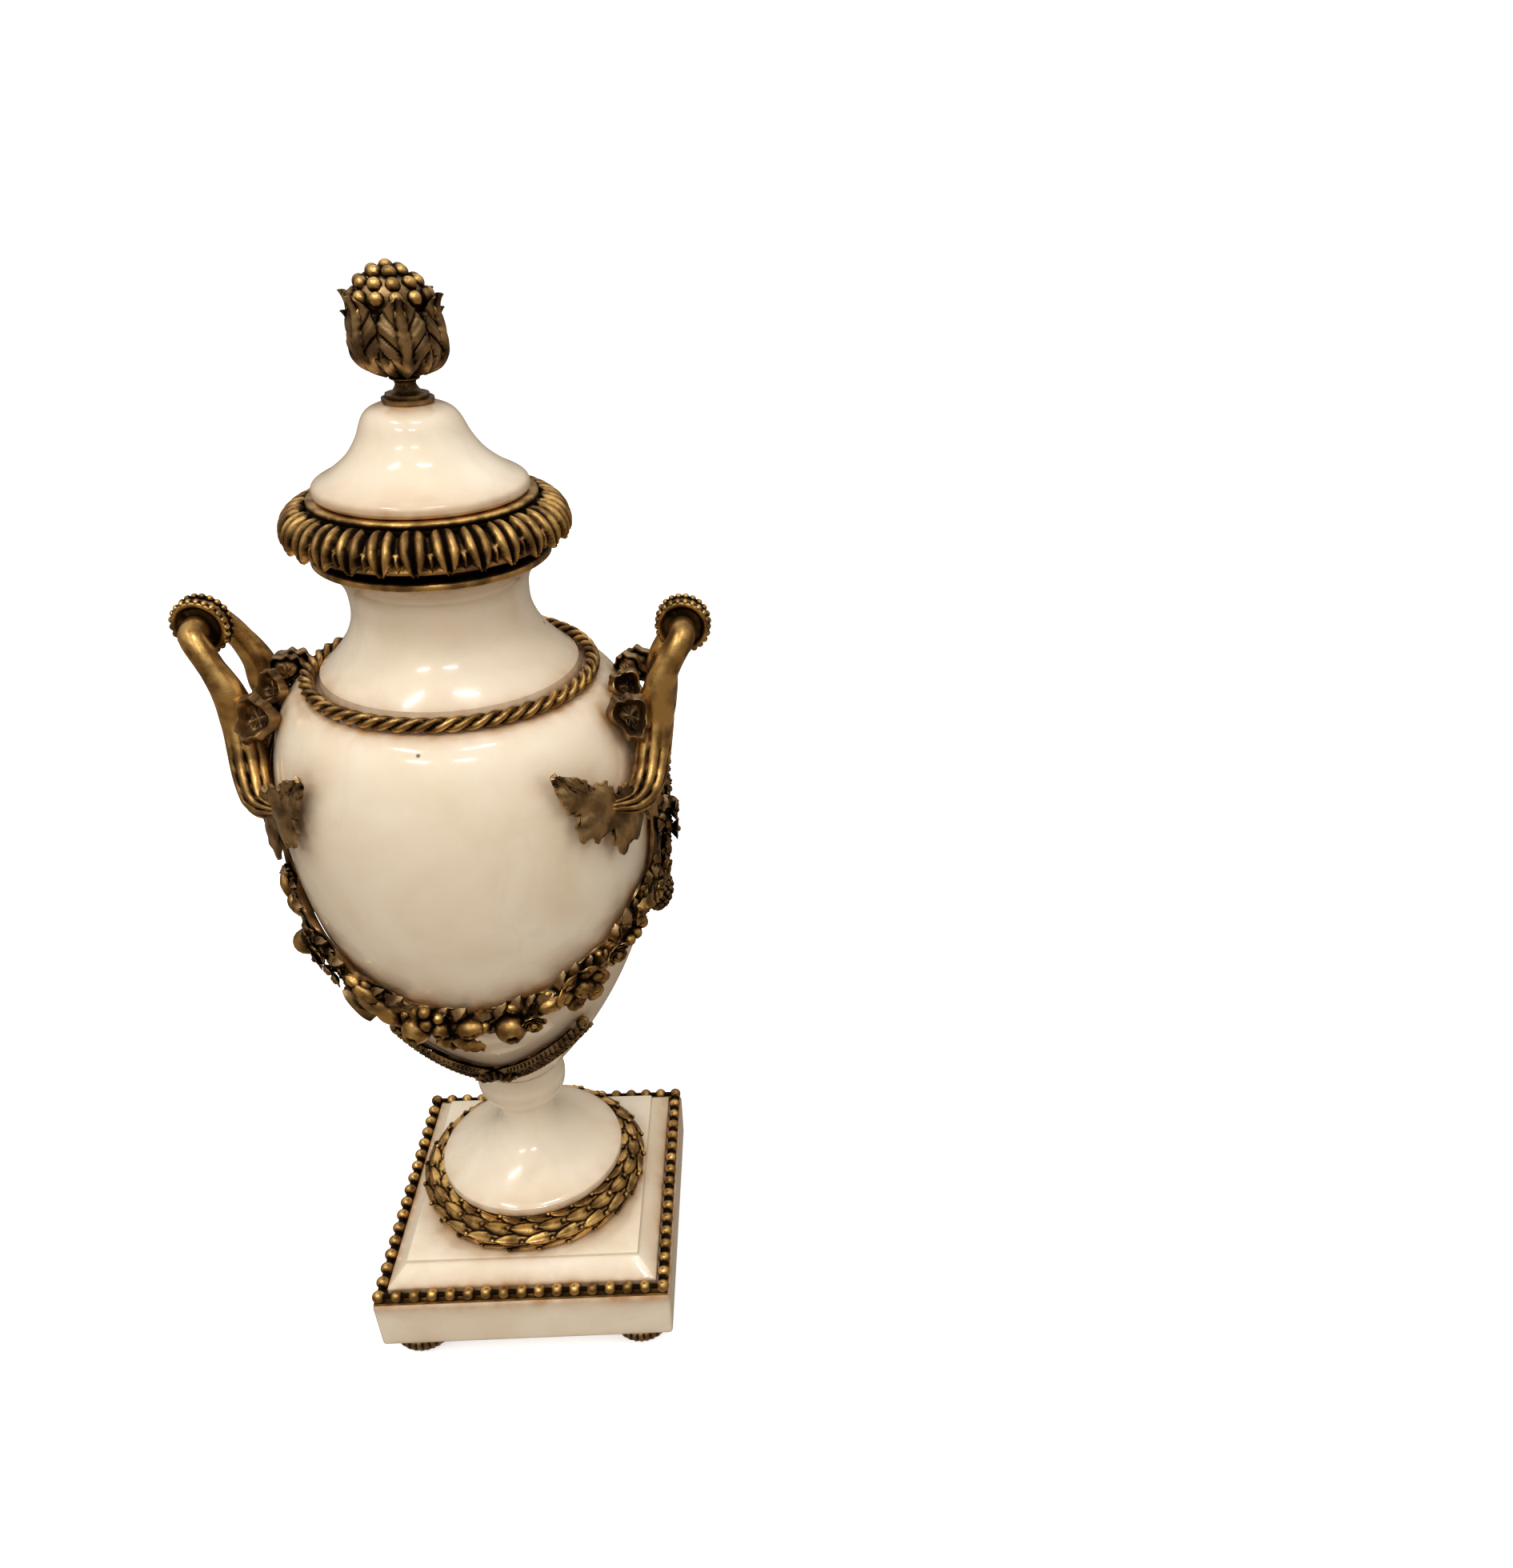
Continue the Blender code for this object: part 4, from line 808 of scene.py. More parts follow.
big_leaf = press_leaf("big leaf", 44, 24, 0.0006, acanthus(0.0074, 3.3, 1.05, 0.0))
small_leaf = press_leaf("small leaf", 32, 18, 0.0006, acanthus(0.0050, 2.6, 0.84, -0.0010))
parts = [stalk]
for number in range(6):
    parts.append(duplicate(big_leaf, spun(60 * number + BUD_TURN)))
    parts.append(duplicate(small_leaf, spun(60 * number + BUD_TURN + 30)))
place_bronze(cast_together("bud_leaves", parts), BROWN, "finial")
berry = ball(BUD_BERRY, 16, 10)
parts = []
for count, out, height in ((1, 0.0, 0.0072), (6, 0.0042, 0.0060), (10, 0.0080, 0.0034), (12, 0.0104, 0.0000),
                           (6, 0.0118, -0.0036)):
    for number in range(count):
        turn = 2 * math.pi * (number + 0.5 * (count % 4 == 2)) / count + math.radians(BUD_TURN)
        place = Matrix.Translation((out * math.cos(turn), out * math.sin(turn), BUD_TOP + height))
        parts.append(duplicate(berry, place))
put_away(big_leaf, small_leaf, berry)
place_bronze(cast_together("bud_berries", parts), GILT, "finial")

# The handles.
# Each is a beaded disc between two arms that bend out of its faces, come down in a soft S and end in
# nested flutes on a broad acanthus leaf; cast in one and screwed to the vase.
DISC_PLACE, DISC_UP, DISC_HALF = 0.0800, 0.3165, 0.0040
RIM_BEADS, RIM_BEAD, RIM_BEAD_OUT, RIM_BEAD_UP = 22, 0.00118, 0.0085, 0.0026
ARM_RADIUS, ARM_ROWS = 0.0044, 72


def body_slope(height):
    return (body_radius(height + 0.0005) - body_radius(height - 0.0005)) / 0.001


def on_body(angle, height, proud):
    """A point off the marble: degrees round the axis, height, and distance from the skin."""
    slope = body_slope(height)
    length = math.hypot(1, slope)
    radius = body_radius(height) + proud / length
    turn = math.radians(angle)
    return Vector((radius * math.cos(turn), radius * math.sin(turn), height - proud * slope / length))


def body_axes(angle, height):
    """The skin's own axes: along it, up it and out of it."""
    out = (on_body(angle, height, 0.001) - on_body(angle, height, 0.0)).normalized()
    turn = math.radians(angle)
    along = Vector((-math.sin(turn), math.cos(turn), 0.0))
    return Matrix((along, out.cross(along), out)).transposed()


def lay_on_body(pattern, angle, height, proud, size=1.0, turn=0.0, pitch=0.0):
    """A copy of a pattern, laid on the marble with its own up as out of the skin."""
    return duplicate(pattern, Matrix.Translation(on_body(angle, height, proud))
                     @ body_axes(angle, height).to_4x4() @ spun(turn)
                     @ Matrix.Rotation(math.radians(-pitch), 4, "Y") @ Matrix.Scale(size, 4))


def roll_tube(name, along, around, rule):
    """A sheet rolled to a closed tube by rule(share along, turn)."""
    let_go()
    bpy.ops.mesh.primitive_grid_add(x_subdivisions=along, y_subdivisions=around, size=2)
    piece = bpy.context.object
    piece.name = name
    reshape(piece, lambda point: Vector(rule((point.x + 1) / 2, point.y * math.pi)))
    open_mesh()
    bpy.ops.mesh.remove_doubles(threshold=0.000005)
    bpy.ops.mesh.fill_holes(sides=0)
    bpy.ops.mesh.normals_make_consistent(inside=False)
    close_mesh()
    return piece


def bend_along(points, count, start_up):
    """Evenly numbered frames (place, out, across) down a smooth line through the points."""
    line = [Vector(point) for point in soft_line(points, 24)]
    frames = []
    across = Vector(start_up)
    for number in range(count + 1):
        spot = number / count * (len(line) - 1)
        low = min(int(spot), len(line) - 2)
        place = line[low].lerp(line[low + 1], spot - low)
        ahead = (line[min(low + 2, len(line) - 1)] - line[max(low - 1, 0)]).normalized()
        across = (across - ahead * across.dot(ahead)).normalized()
        frames.append((place, ahead.cross(across), across))
    return frames


arm_frames = bend_along([(DISC_PLACE, -0.0010, DISC_UP), (DISC_PLACE, -0.0060, DISC_UP),
                         (DISC_PLACE - 0.0004, -0.0104, DISC_UP - 0.0016),
                         (DISC_PLACE - 0.0045, -0.0133, DISC_UP - 0.0085),
                         (DISC_PLACE - 0.0088, -0.0148, DISC_UP - 0.0185),
                         (DISC_PLACE - 0.0102, -0.0155, DISC_UP - 0.0300),
                         tuple(on_body(-20.0, 0.2700, 0.0066)), tuple(on_body(-28.0, 0.2648, 0.0050)),
                         tuple(on_body(-38.0, 0.2676, 0.0026))], ARM_ROWS, (1, 0, 0))


def arm_skin(share, turn):
    """A round arm that swells and breaks into flutes as it comes down, with a collar at the disc."""
    place, side, out = arm_frames[round(share * ARM_ROWS)]
    flutes = held((share - 0.60) / 0.14)
    reach = ARM_RADIUS * (1 + 0.42 * math.sin(math.pi * held((share - 0.40) / 0.55)))
    reach *= 1 - 0.62 * max(0.0, (share - 0.84) / 0.16)
    reach *= 1 - 0.34 * flutes * (1 - abs(math.sin(4.0 * turn + 5.0 * share)) ** 0.5)
    if share < 0.055:
        reach *= 1.12
    return place + (out * math.cos(turn) + side * math.sin(turn)) * reach


arm = roll_tube("arm", ARM_ROWS, 72, arm_skin)

# (degrees round the body, height)
leaf_line = soft_line([(-17, 0.2690), (-26, 0.2640), (-38, 0.2680), (-47, 0.2765), (-54.5, 0.2845)], 16)


def spot_on(line, share):
    """The pair at a share of a line's length, and the number of the pair before it."""
    spot = share * (len(line) - 1)
    low = min(int(spot), len(line) - 2)
    return [before + (after - before) * (spot - low) for before, after in zip(line[low], line[low + 1])], low


def handle_leaf(share, side):
    """Lobed and toothed edges, deep below the rib and narrow above it, veins to each lobe, a curled tip."""
    (angle, height), low = spot_on(leaf_line, share)
    ahead, behind = leaf_line[min(low + 3, len(leaf_line) - 1)], leaf_line[max(low - 2, 0)]
    run = math.radians(ahead[0] - behind[0]) * body_radius(height)
    lean = math.hypot(1, body_slope(height))
    climb = (ahead[1] - behind[1]) * lean
    length = math.hypot(run, climb)
    lobe = 4.2 * share ** 0.9 + 0.15
    phase = lobe % 1
    notch = 0.36 + 0.64 * min(1.0, phase / 0.62) ** 0.6 * min(1.0, (1 - phase) / 0.12 + 0.1)
    tooth = 1 + 0.12 * math.cos(2 * math.pi * 3 * phase)
    if side > 0:
        wide = 0.0072 * math.sin(math.pi * (0.10 + 0.88 * share)) ** 0.7 + 0.0004
    else:
        wide = 0.0172 * math.sin(math.pi * (0.14 + 0.84 * share)) ** 0.62 * (1 - 0.45 * share) + 0.0004
    reach = side * wide * (1 - (1 - notch * tooth) * abs(side) ** 1.2 * (1 - share ** 3))
    reach *= 1 - 0.9 * share ** 6
    sweep = abs(reach) * 0.42 * (1 - share)
    rib = 0.0018 * max(0.0, 1 - abs(side) * 4.0) * (1 - 0.6 * share)
    vein = 0.0010 * math.cos(2 * math.pi * (phase - 0.55)) * min(1.0, abs(side) * 2.2)
    fine = 0.00022 * math.cos(2 * math.pi * (lobe * 4 - 2.0 * abs(side))) * abs(side)
    curl = 0.0016 * abs(side) ** 4 + 0.0030 * share ** 8
    return on_body(angle + math.degrees((reach * climb - sweep * -run) / length / body_radius(height)),
                   height - (reach * run - sweep * climb) / length / lean,
                   0.0022 + rib + vein + fine + curl + 0.0012 * math.sin(math.pi * abs(side)))


leaf = press_leaf("leaf", 84, 26, 0.0013, handle_leaf)

disc_outline = soft_line([(0.0066, -0.0034), (0.0074, -DISC_HALF), (0.0082, -DISC_HALF), (0.0087, -0.0034),
                          (0.0083, -0.0018), (0.0083, 0.0018), (0.0087, 0.0034), (0.0082, DISC_HALF),
                          (0.0074, DISC_HALF), (0.0066, 0.0034)], 3)
disc = turn_on_lathe("disc", [(0.0009, -0.0032), (0.0060, -0.0032), *disc_outline,
                              (0.0060, 0.0032), (0.0009, 0.0032)], 88)
rim_bead = ball(RIM_BEAD, 12, 8, (1, 1, 1.15))
disc_parts = [disc]
for number in range(RIM_BEADS):
    turn = 2 * math.pi * number / RIM_BEADS
    for level in (-RIM_BEAD_UP, RIM_BEAD_UP):
        place = Matrix.Translation((RIM_BEAD_OUT * math.cos(turn), RIM_BEAD_OUT * math.sin(turn), level))
        disc_parts.append(duplicate(rim_bead, place))
put_away(rim_bead)
disc = cast_together("disc", disc_parts)
disc.data.transform(Matrix.Translation((DISC_PLACE, 0, DISC_UP)) @ Matrix.Rotation(math.pi / 2, 4, "X"))


def mirrored(piece, axis=(0, 1, 0)):
    """A mirrored copy, to the back of the urn if no axis is named, its faces outwards again."""
    copy = duplicate(piece, Matrix.Scale(-1, 4, axis))
    copy.data.flip_normals()
    return copy


def place_bronze_pair(piece, other_name, finish, node, other_node):
    """Finish a casting and its twin, which is turned half round the urn."""
    twin = duplicate(piece, Matrix.Rotation(math.pi, 4, "Z"))
    twin.name = other_name
    place_bronze(piece, finish, node)
    place_bronze(twin, finish, other_node)


place_bronze_pair(cast_together("handle_on_the_right", [disc, arm, mirrored(arm)]), "handle_on_the_left",
                  GILT, "handle_right", "handle_left")
place_bronze_pair(cast_together("leaves_on_the_right", [leaf, mirrored(leaf)]), "leaves_on_the_left",
                  BROWN, "handle_right", "handle_left")

# The ribbon bows.
# A bow between the arms of each handle: a flat loop, a tail and two open standing loops on each side of a
# knot, cast thin and left brown; inside the folds it is dark, partly patina and partly painted shade.
BOW_UP = 0.2880
RIBBON_THICKNESS = 0.0009


def ribbon_loop(length, half_turn, rise):
    """A fan of folds from the knot to a rolled lip."""
    def rule(share, side):
        folds = math.cos(2 * math.pi * side)
        reach = 0.0020 + length * share * (1 + 0.07 * folds - 0.22 * side * side)
        turn = half_turn * side * (0.75 + 0.25 * share)
        fold = 0.5 + 0.5 * math.cos(2 * math.pi * side + 1.1 * math.sin(5 * share))
        swell = math.sin(math.pi * min(1.0, 0.12 + 0.80 * share)) ** 0.8
        hollow = 0.45 * math.exp(-((share - 0.62) / 0.16) ** 2) * (1 - side * side)
        lip = 0.0012 * share ** 6
        height = 0.0012 + rise * swell * (0.35 + 0.65 * fold) * (1 - hollow) * (1 - 0.5 * side * side) + lip
        return reach * math.cos(turn), reach * math.sin(turn), height
    return rule


def wrap_bow(pattern, turn, up):
    """Lay a loop round the shoulder."""
    copy = duplicate(pattern, spun(turn))

    def wrap(point):
        height = BOW_UP + up + point.y / math.hypot(1, body_slope(BOW_UP + 0.4 * point.y))
        height = min(height, BODY_TOP - 0.0004)
        return on_body(math.degrees(point.x / body_radius(height)), height, point.z)

    other = mirrored(copy, (1, 0, 0))
    reshape(copy, wrap)
    reshape(other, wrap)
    return copy, other


def crumpled_loop(share, side):
    """A ribbon loop seen from its open end: pleats run out of a dark middle and over a thick rolled lip."""
    turn = side * math.pi
    pleat = math.cos(7 * turn + 1.2 * math.sin(2 * turn))
    reach = share * (1 + 0.07 * pleat * share + 0.12 * math.cos(3 * turn + 0.6))
    lip = math.exp(-((share - 0.78) / 0.20) ** 2)
    height = 0.10 + 0.66 * lip + 0.09 * pleat * share * (1 - 0.4 * share) + 0.08 * math.cos(2 * turn) * share
    return 1.05 * reach * math.cos(turn), 0.88 * reach * math.sin(turn), height


def stand_loop(angle, height, size, facing):
    """Stand a loop on the shoulder so that its open end looks along the body, a little up and out."""
    place = on_body(angle, height, 0.70 * size)
    out = (place - on_body(angle, height, 0)).normalized()
    along = Vector((math.sin(math.radians(angle)), -math.cos(math.radians(angle)), 0)) * facing
    axis = (along * 0.85 + out * 0.45 + Vector((0, 0, 0.15))).normalized()
    down = (on_body(angle, height - 0.002, 0) - on_body(angle, height, 0)).normalized()
    down = (down - axis * down.dot(axis)).normalized()
    turned = Matrix((down, axis.cross(down), axis)).transposed().to_4x4()
    return duplicate(open_loop, Matrix.Translation(place) @ turned @ Matrix.Scale(size, 4))


loop = press_leaf("loop", 24, 32, RIBBON_THICKNESS, ribbon_loop(0.0190, 0.34, 0.0030))
tail = press_leaf("tail", 24, 12, RIBBON_THICKNESS, ribbon_loop(0.0170, 0.18, 0.0020))
knot = ball(1, 18, 12, (0.0040, 0.0046, 0.0042))
reshape(knot, lambda point: Vector((point.x * (1 + 0.16 * math.cos(1400 * point.y)), point.y,
                                    point.z + 0.0020)))
open_loop = press_leaf("open loop", 16, 60, 0.09, crumpled_loop)
(loop_right, loop_left), (tail_right, tail_left) = wrap_bow(loop, -8, -0.001), wrap_bow(tail, -48, -0.002)
parts = [loop_right, tail_right, loop_left, tail_left]
for angle, height, size in ((17, 0.2885, 0.0080), (6, 0.2935, 0.0062)):
    parts += [stand_loop(-angle, height, size, 1), stand_loop(angle, height, size, -1)]
parts.append(lay_on_body(knot, 0, BOW_UP, 0.0))
put_away(loop, tail, knot, open_loop)
place_bronze_pair(cast_together("bow_on_the_right", parts), "bow_on_the_left", BROWN, "bow_right", "bow_left")

# The garlands and the side drops.
# Fruit, nuts, flowers and leaves cast as one thick string that hangs from under the handles across each
# face, and a short one that falls between them, ending in a seed head; worn bright on the fruit.
SWAG_LOW, SWAG_RISE = 0.1915, 0.0500
FRUIT_GROWTH, FRUIT_OUT = 1.16, 0.0014
PETAL_THICKNESS = 0.05


def dimple(point):
    """A round fruit with the open eye of its calyx at the top."""
    out = math.hypot(point.x, point.y)
    if point.z > 0:
        ragged = 1 + 0.25 * math.cos(5 * math.atan2(point.y, point.x))
        point.z += 0.20 * math.exp(-((out - 0.36) / 0.10) ** 2) * ragged - 0.62 * math.exp(-(out / 0.26) ** 2)
    return point


def slit(point):
    """A nut: longer than wide, with a deep slit along its top."""
    cut = 0.36 * math.exp(-(point.y / 0.13) ** 2) * (point.z > 0)
    return Vector((point.x * 1.28, point.y * 0.92, (point.z - cut) * 0.9))


def ribs(point):
    """A pod with lengthwise ribs and a pinched end."""
    turn = math.atan2(point.z, point.y)
    pinch = (1 + 0.10 * abs(math.cos(4 * turn))) * (1 - 0.30 * max(point.x, 0) ** 2)
    return Vector((point.x * 1.5, point.y * 0.78 * pinch, point.z * 0.78 * pinch))


def bud(point):
    """A pointed bud of three closed petals."""
    turn = math.atan2(point.z, point.y)
    pinch = (1 + 0.14 * abs(math.cos(1.5 * turn + 0.4))) * (1 - 0.55 * max(point.x, 0) ** 1.5)
    return Vector((point.x * 1.7, point.y * 0.72 * pinch, point.z * 0.72 * pinch))


def chased_ball(rule, segments=22):
    piece = ball(1, segments, 14)
    reshape(piece, rule)
    return piece


def open_flower(petals, cup, along, around):
    """A flower's petals, pressed from a disc: ribbed, cupped, and cut between them."""
    def rule(share, side):
        turn = side * math.pi
        petal = abs(math.cos(petals * turn / 2))
        reach = share * (0.66 + 0.34 * petal ** 0.5)
        rib = 0.02 * math.cos(petals * 3 * turn) * share
        crown = 0.16 * math.sin(math.pi * share) * petal
        height = cup * share ** 1.7 + crown + rib - 0.20 * (1 - petal) ** 3 * share
        return reach * math.cos(turn), reach * math.sin(turn), height
    return press_leaf("flower", along, around, PETAL_THICKNESS, rule)


def leaf_of_garland(width, teeth):
    def rule(share, side):
        edge = width * math.sin(math.pi * (0.06 + 0.94 * share)) ** 0.8
        edge *= 1 + 0.16 * math.cos(2 * math.pi * teeth * share) * (1 - share)
        height = 0.16 * math.sin(math.pi * share) + 0.10 * max(0.0, 1 - 3 * abs(side))
        height += 0.10 * (1 - side * side)
        height += 0.035 * math.cos(2 * math.pi * (teeth * share - 0.8 * abs(side)))
        return share, side * edge, height
    return press_leaf("garland leaf", 10, 4, PETAL_THICKNESS, rule)


def seeds(point):
    return point * (1 + 0.09 * math.cos(15 * point.x + 3) * math.cos(15 * point.y))


patterns = {
    "apple": chased_ball(dimple), "nut": chased_ball(slit), "pod": chased_ball(ribs, 32),
    "bud": chased_ball(bud, 24), "berry": ball(1, 12, 8), "flower": open_flower(6, 0.30, 8, 48),
    "daisy": open_flower(5, 0.16, 4, 30), "petals": open_flower(4, 0.62, 5, 32),
    "leaf": leaf_of_garland(0.24, 3), "broad": leaf_of_garland(0.36, 4), "blade": leaf_of_garland(0.20, 1),
    "eye": ball(1, 26, 18)}
reshape(patterns["eye"], seeds)


def raised(kind, lift, size, turn=Matrix()):
    """A smaller copy of a pattern above its own middle."""
    return duplicate(patterns[kind], Matrix.Translation((0, 0, lift)) @ turn @ Matrix.Scale(size, 4))


patterns["rose"] = cast_together("rose", [
    raised("petals", 0.0, 1.0, spun(0)), raised("petals", 0.18, 0.72, spun(40)),
    raised("petals", 0.34, 0.46, spun(10)), raised("berry", 0.55, 0.28)])
patterns["sunflower"] = cast_together("sunflower", [
    duplicate(patterns["flower"], Matrix()), raised("flower", 0.06, 0.78, Matrix.Rotation(0.14, 4, "Z")),
    raised("eye", 0.18, 0.38)])
cob_parts = [duplicate(patterns["berry"], Matrix.Diagonal((0.80, 0.45, 0.45, 1)))]
for ring in range(9):
    along = ring / 4.4 - 0.91
    reach = 0.48 * math.sqrt(1 - along ** 2)
    for number in range(9):
        turn = 2 * math.pi * (number + 0.5 * (ring % 2)) / 9
        place = Matrix.Translation((along * 0.9, reach * math.cos(turn), reach * math.sin(turn)))
        cob_parts.append(duplicate(patterns["berry"], place @ Matrix.Scale(0.15, 4)))
patterns["cob"] = cast_together("cob", cob_parts)


def swag_height(lean):
    """Height of the garland's middle, at degrees from the front."""
    return SWAG_LOW + SWAG_RISE * (abs(lean) / 90) ** 1.8


def slope_at(height_at, lean, radius):
    """How steeply a string climbs, in degrees, where the body has a radius."""
    return math.degrees(math.atan2(height_at(lean + 2) - height_at(lean - 2), math.radians(4) * radius))


def lay(kind, angle, height, proud, size, turn=0.0, pitch=0.0):
    """Add a copy of a pattern to the casting that is being made up."""
    parts.append(lay_on_body(patterns[kind], angle, height, proud, size, turn, pitch))


def lay_on_swag(kind, lean, up, proud, size, turn=0.0):
    lay(kind, lean - 90, swag_height(lean) + up, proud, size, turn)


def string(name, route, width, thick):
    """The core of a garland: a knotted branch along (angle, height) pairs."""
    line = soft_line(route, 12)

    def skin(share, turn):
        (angle, height), low = spot_on(line, share)
        run = math.radians(line[low + 1][0] - line[low][0]) * body_radius(height)
        climb = line[low + 1][1] - line[low][1]
        length = math.hypot(run, climb)
        lump = 1 + 0.22 * math.sin(47 * share + 2 * turn) + 0.14 * math.sin(110 * share)
        lump *= 1 - 0.9 * (2 * share - 1) ** 12
        across = width * lump * math.cos(turn)
        return on_body(angle - math.degrees(across * climb / length / body_radius(height)),
                       height + across * run / length, 0.0002 + thick * (1 + math.sin(turn)) * lump)
    return roll_tube(name, 4 * len(route), 16, skin)


# degrees from the front, offset up, kind, size, turn, distance off the marble
FRONT_FRUIT = (
    (-61.5, -0.0066, "berry", 0.0042, 0, 0.0056), (-73, 0.0005, "bud", 0.0034, 110, 0.0034),
    (-69, -0.0030, "bud", 0.0028, 70, 0.0034), (-66, 0.0028, "nut", 0.0026, 120, 0.0032),
    (-57, 0.0010, "daisy", 0.0036, 0, 0.0044), (-58.5, -0.0040, "daisy", 0.0026, 40, 0.0040),
    (-54, -0.0035, "rose", 0.0040, 20, 0.0040), (-51, -0.0072, "daisy", 0.0036, 15, 0.0044),
    (-50, 0.0030, "flower", 0.0038, 30, 0.0044), (-46, -0.0010, "flower", 0.0046, 10, 0.0050),
    (-43, 0.0048, "daisy", 0.0030, 0, 0.0040), (-40, -0.0045, "daisy", 0.0040, 25, 0.0046),
    (-36, -0.0015, "daisy", 0.0034, 60, 0.0050), (-37, 0.0042, "pod", 0.0024, 150, 0.0034),
    (-32.5, 0.0030, "bud", 0.0030, -32, 0.0042), (-27, -0.0028, "bud", 0.0038, -62, 0.0044),
    (-17.5, -0.0040, "apple", 0.0047, 0, 0.0052), (-15.5, 0.0052, "berry", 0.0020, 0, 0.0040),
    (-12.5, 0.0065, "berry", 0.0020, 0, 0.0040), (-12.0, 0.0026, "berry", 0.0022, 0, 0.0060),
    (-8.6, 0.0046, "berry", 0.0019, 0, 0.0042), (-8.6, 0.0002, "apple", 0.0030, 20, 0.0056),
    (0.0, -0.0076, "broad", 0.0110, 170, 0.0040), (-6.5, -0.0040, "broad", 0.0112, -30, 0.0046),
    (1.0, 0.0008, "nut", 0.0037, 8, 0.0050), (5.2, 0.0002, "berry", 0.0026, 0, 0.0040),
    (13.5, -0.0022, "apple", 0.0048, 30, 0.0056), (20.5, -0.0020, "rose", 0.0042, 15, 0.0050),
    (27.0, 0.0010, "pod", 0.0032, 24, 0.0048), (36.5, 0.0025, "sunflower", 0.0094, 12, 0.0048),
    (47.5, 0.0065, "rose", 0.0044, 40, 0.0062), (50.5, 0.0005, "bud", 0.0032, -58, 0.0046),
    (45.0, -0.0070, "daisy", 0.0034, 20, 0.0040), (56.5, -0.0020, "berry", 0.0021, 0, 0.0046),
    (60.0, -0.0040, "berry", 0.0021, 0, 0.0044), (63.0, -0.0035, "berry", 0.0021, 0, 0.0044),
    (61.5, 0.0030, "daisy", 0.0042, 0, 0.0050), (66.5, 0.0015, "broad", 0.0100, 160, 0.0046),
    (71.0, -0.0010, "flower", 0.0042, 0, 0.0050), (74.5, 0.0030, "rose", 0.0034, 20, 0.0052))
SMALL_FRUIT = (("berry", 0.0017), ("daisy", 0.0028), ("nut", 0.0021), ("daisy", 0.0031))

parts = []
for lean, up, kind, size, turn, proud in FRONT_FRUIT:
    lay_on_swag(kind, lean, up, proud + FRUIT_OUT, FRUIT_GROWTH * size, turn)
for number in range(50):
    kind, size = SMALL_FRUIT[number % 4]
    lay_on_swag(kind, -75 + number * 3, 0.0054 * math.sin(1.9 * number + 0.6), 0.0040, size, 47 * number)
place_bronze_pair(cast_together("fruit_in_front", parts), "fruit_behind", GILT, "swag_front", "swag_back")

route = [(-172, 0.2780), (-169.5, 0.2565)]
route += [(lean - 90, swag_height(lean)) for lean in range(-77, 78, 7)]
route += [(-10.5, 0.2565), (-8, 0.2780)]
parts = [string("garland", route, 0.0056, 0.0021)]
for number in range(44):
    lean = -76 + number * 3.5
    slope = slope_at(swag_height, lean, 0.055)
    for side in (-1, 1):
        wander = 22 * math.sin(7.3 * number + side)
        size = 0.0086 + 0.0016 * math.sin(3.1 * number + 2 * side)
        up = side * (0.0014 + 0.0012 * math.cos(2.3 * number))
        lay_on_swag("broad" if number % 3 else "leaf", lean, up, 0.0024 + 0.0006 * math.sin(5 * number), size,
                    slope + side * 40 + wander)
    if number % 2:
        lay_on_swag("berry", lean, 0.0056 * math.sin(2.1 * number), 0.0036, 0.0012 + 0.0003 * math.sin(number))
lay_on_swag("blade", -42, -0.0030, 0.0050, 0.0150, -56)
lay_on_swag("blade", -40, -0.0030, 0.0040, 0.0120, -40)
for side in (-1, 1):
    for number in range(7):
        height = 0.2430 + 0.0052 * number
        angle = -90 + side * (79 + 0.45 * number)
        lay("broad", angle, height, 0.0024, 0.0080, 90 + side * (-1) ** number * 38, 12)
        lay("berry" if number % 2 else "daisy", angle - side * 1.5, height, 0.0042, 0.0021)
place_bronze_pair(cast_together("garland_in_front", parts), "garland_behind", BROWN, "swag_front", "swag_back")

parts = [string("drop", [(0, 0.2780), (0, 0.2600), (0, 0.2400), (0, 0.2200), (0, 0.2060)], 0.0028, 0.0017)]
for number in range(15):
    height = 0.2740 - 0.0042 * number
    for side in (-1, 1):
        lay("broad" if number % 2 else "leaf", side * 1.2, height, 0.0026, 0.0078,
            -90 + side * (34 + 10 * math.sin(3 * number)), 14)
for height, side, kind, size, proud in (
        (0.2660, 0, "rose", 0.0046, 0.0042), (0.2560, 3, "daisy", 0.0038, 0.0048),
        (0.2540, -3, "flower", 0.0036, 0.0048), (0.2450, -2.4, "rose", 0.0044, 0.0056),
        (0.2440, 2.6, "apple", 0.0032, 0.0056), (0.2350, 0.6, "rose", 0.0046, 0.0058),
        (0.2270, -2, "berry", 0.0022, 0.0046), (0.2250, 2, "berry", 0.0022, 0.0046)):
    lay(kind, side, height, proud, size, 20)
lay("cob", 0, 0.2075, 0.0044, 0.0088, -90)
place_bronze_pair(cast_together("drop_on_the_right", parts), "drop_on_the_left", BROWN, "side_drop_right",
                  "side_drop_left")

# The laurel sprays.
# A low band of small laurel leaves and florets that curves up on both sides of a little palmette,
# pinned to the tapering foot of the vase below each garland.
SPRAY_LOW, SPRAY_RISE, SPRAY_END = 0.1480, 0.0210, 46


def spray_height(lean):
    return SPRAY_LOW + SPRAY_RISE * (abs(lean) / SPRAY_END) ** 1.8


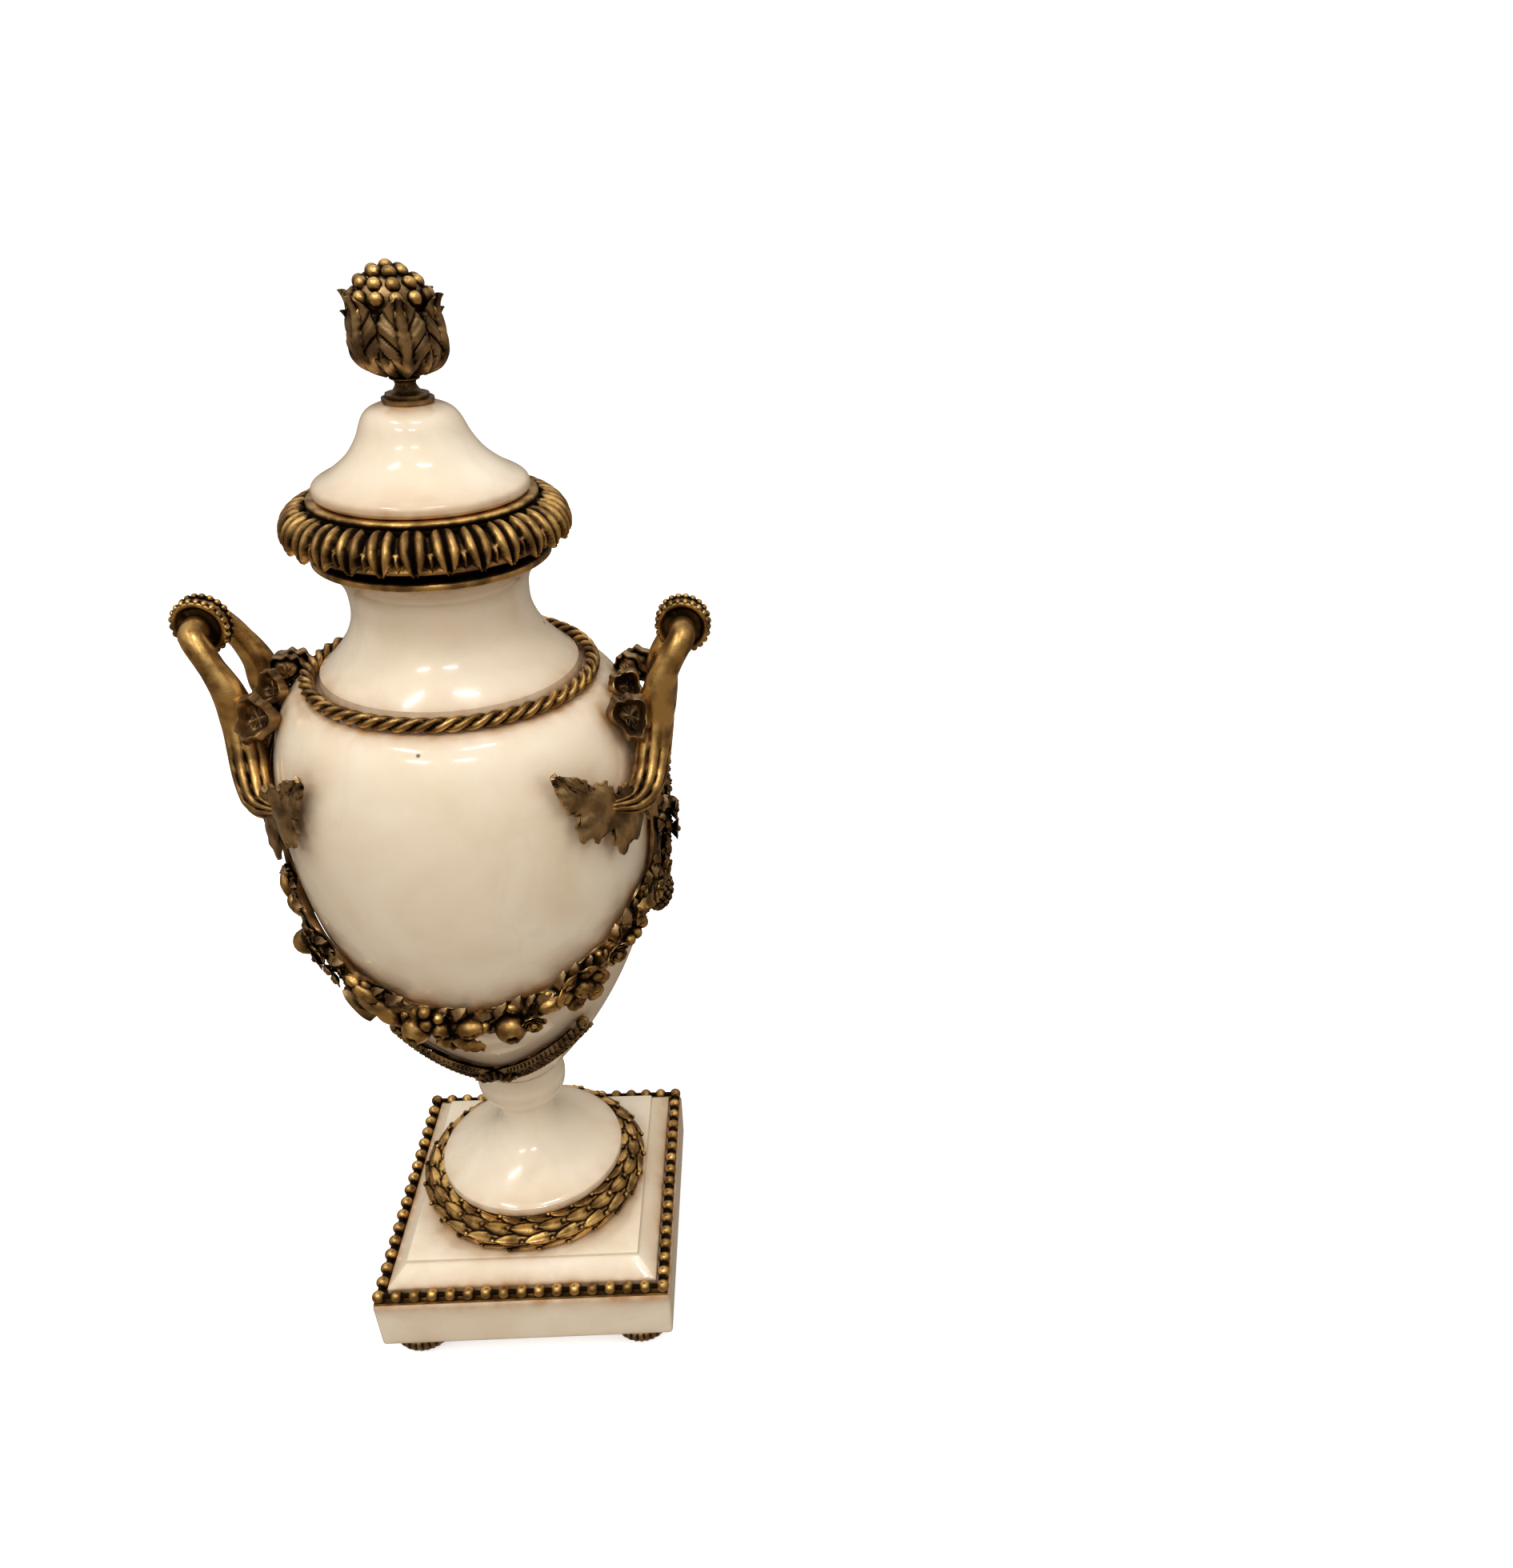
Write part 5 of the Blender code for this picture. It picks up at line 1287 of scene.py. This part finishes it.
route = [(lean - 90, spray_height(lean)) for lean in range(-SPRAY_END, SPRAY_END + 1, 8)]
parts = [string("spray", route, 0.0026, 0.0009)]
for number in range(19):
    for side in (-1, 1):
        lean = side * (3 + 41 * (number / 18))
        slope = slope_at(spray_height, abs(lean), 0.036)
        for edge in (-1, 1):
            lay("broad", lean - 90, spray_height(lean) + edge * 0.0010, 0.0018, 0.0064,
                (slope if side > 0 else 180 - slope) + side * edge * 48, 8)
        if number % 2:
            lay("daisy", lean - 90, spray_height(lean), 0.0032, 0.0025, 30)
for number in range(7):
    lay("leaf", -90, 0.1448, 0.0018, 0.0092, 90 + (-66 + 22 * number), 10)
lay("berry", -90, 0.1452, 0.0024, 0.0022)
for side in (-1, 1):
    lay("berry", side * SPRAY_END - 90, spray_height(SPRAY_END), 0.0018, 0.0026)
put_away(*patterns.values())
place_bronze_pair(cast_together("spray_in_front", parts), "spray_behind", BROWN, "laurel_spray_front",
                  "laurel_spray_back")

# The painted shade and the dirt.
# Hollows of the castings are darker, partly worn gilt and partly painted shade; brown wax and dust have
# gathered on the marble beside them. Both are worked out from the finished shapes and kept with each piece's
# points.
SHADE_REACH, SHADE_GAIN = 0.0042, 1.75
GRIME_REACH = 0.012
FEELERS = [Vector(direction).normalized() for direction in
           ((0.3, 0.9, 0.1), (-0.8, 0.4, 0.3), (0.5, -0.7, 0.5), (-0.2, -0.6, -0.8), (0.9, 0.1, -0.4),
            (-0.5, 0.1, 0.9), (0.2, 0.5, -0.9), (-0.7, -0.6, 0.1))]


def keep_values(piece, name, values):
    piece.data.attributes.new(name, "FLOAT", "POINT").data.foreach_set("value", values)


def skin_of(piece):
    return BVHTree.FromObject(piece, bpy.context.evaluated_depsgraph_get())


# Painted shade: each bronze point is darkened by how many short rays from it hit its own casting.
for piece in bronze_pieces:
    skin = skin_of(piece)
    values = []
    for vertex in piece.data.vertices:
        start = vertex.co + vertex.normal * 0.00006
        blocked = 0.0
        for feeler in FEELERS:
            distance = skin.ray_cast(start, (vertex.normal * 1.05 + feeler).normalized(), SHADE_REACH)[3]
            if distance is not None:
                blocked += 1 - 0.5 * distance / SHADE_REACH
        values.append(min(1.0, blocked / len(FEELERS) * SHADE_GAIN))
    keep_values(piece, "tarnish_and_shade", values)
bronze_skins = [skin_of(piece) for piece in bronze_pieces]
for piece in marble_pieces:
    values = []
    for vertex in piece.data.vertices:
        nearest = GRIME_REACH
        for skin in bronze_skins:
            distance = skin.find_nearest(vertex.co, nearest)[3]
            if distance is not None:
                nearest = min(nearest, distance)
        values.append(min(1.0, 1.2 * math.exp(-nearest / 0.0030) + 0.14 * math.exp(-nearest / 0.008)))
    keep_values(piece, "grime", values)
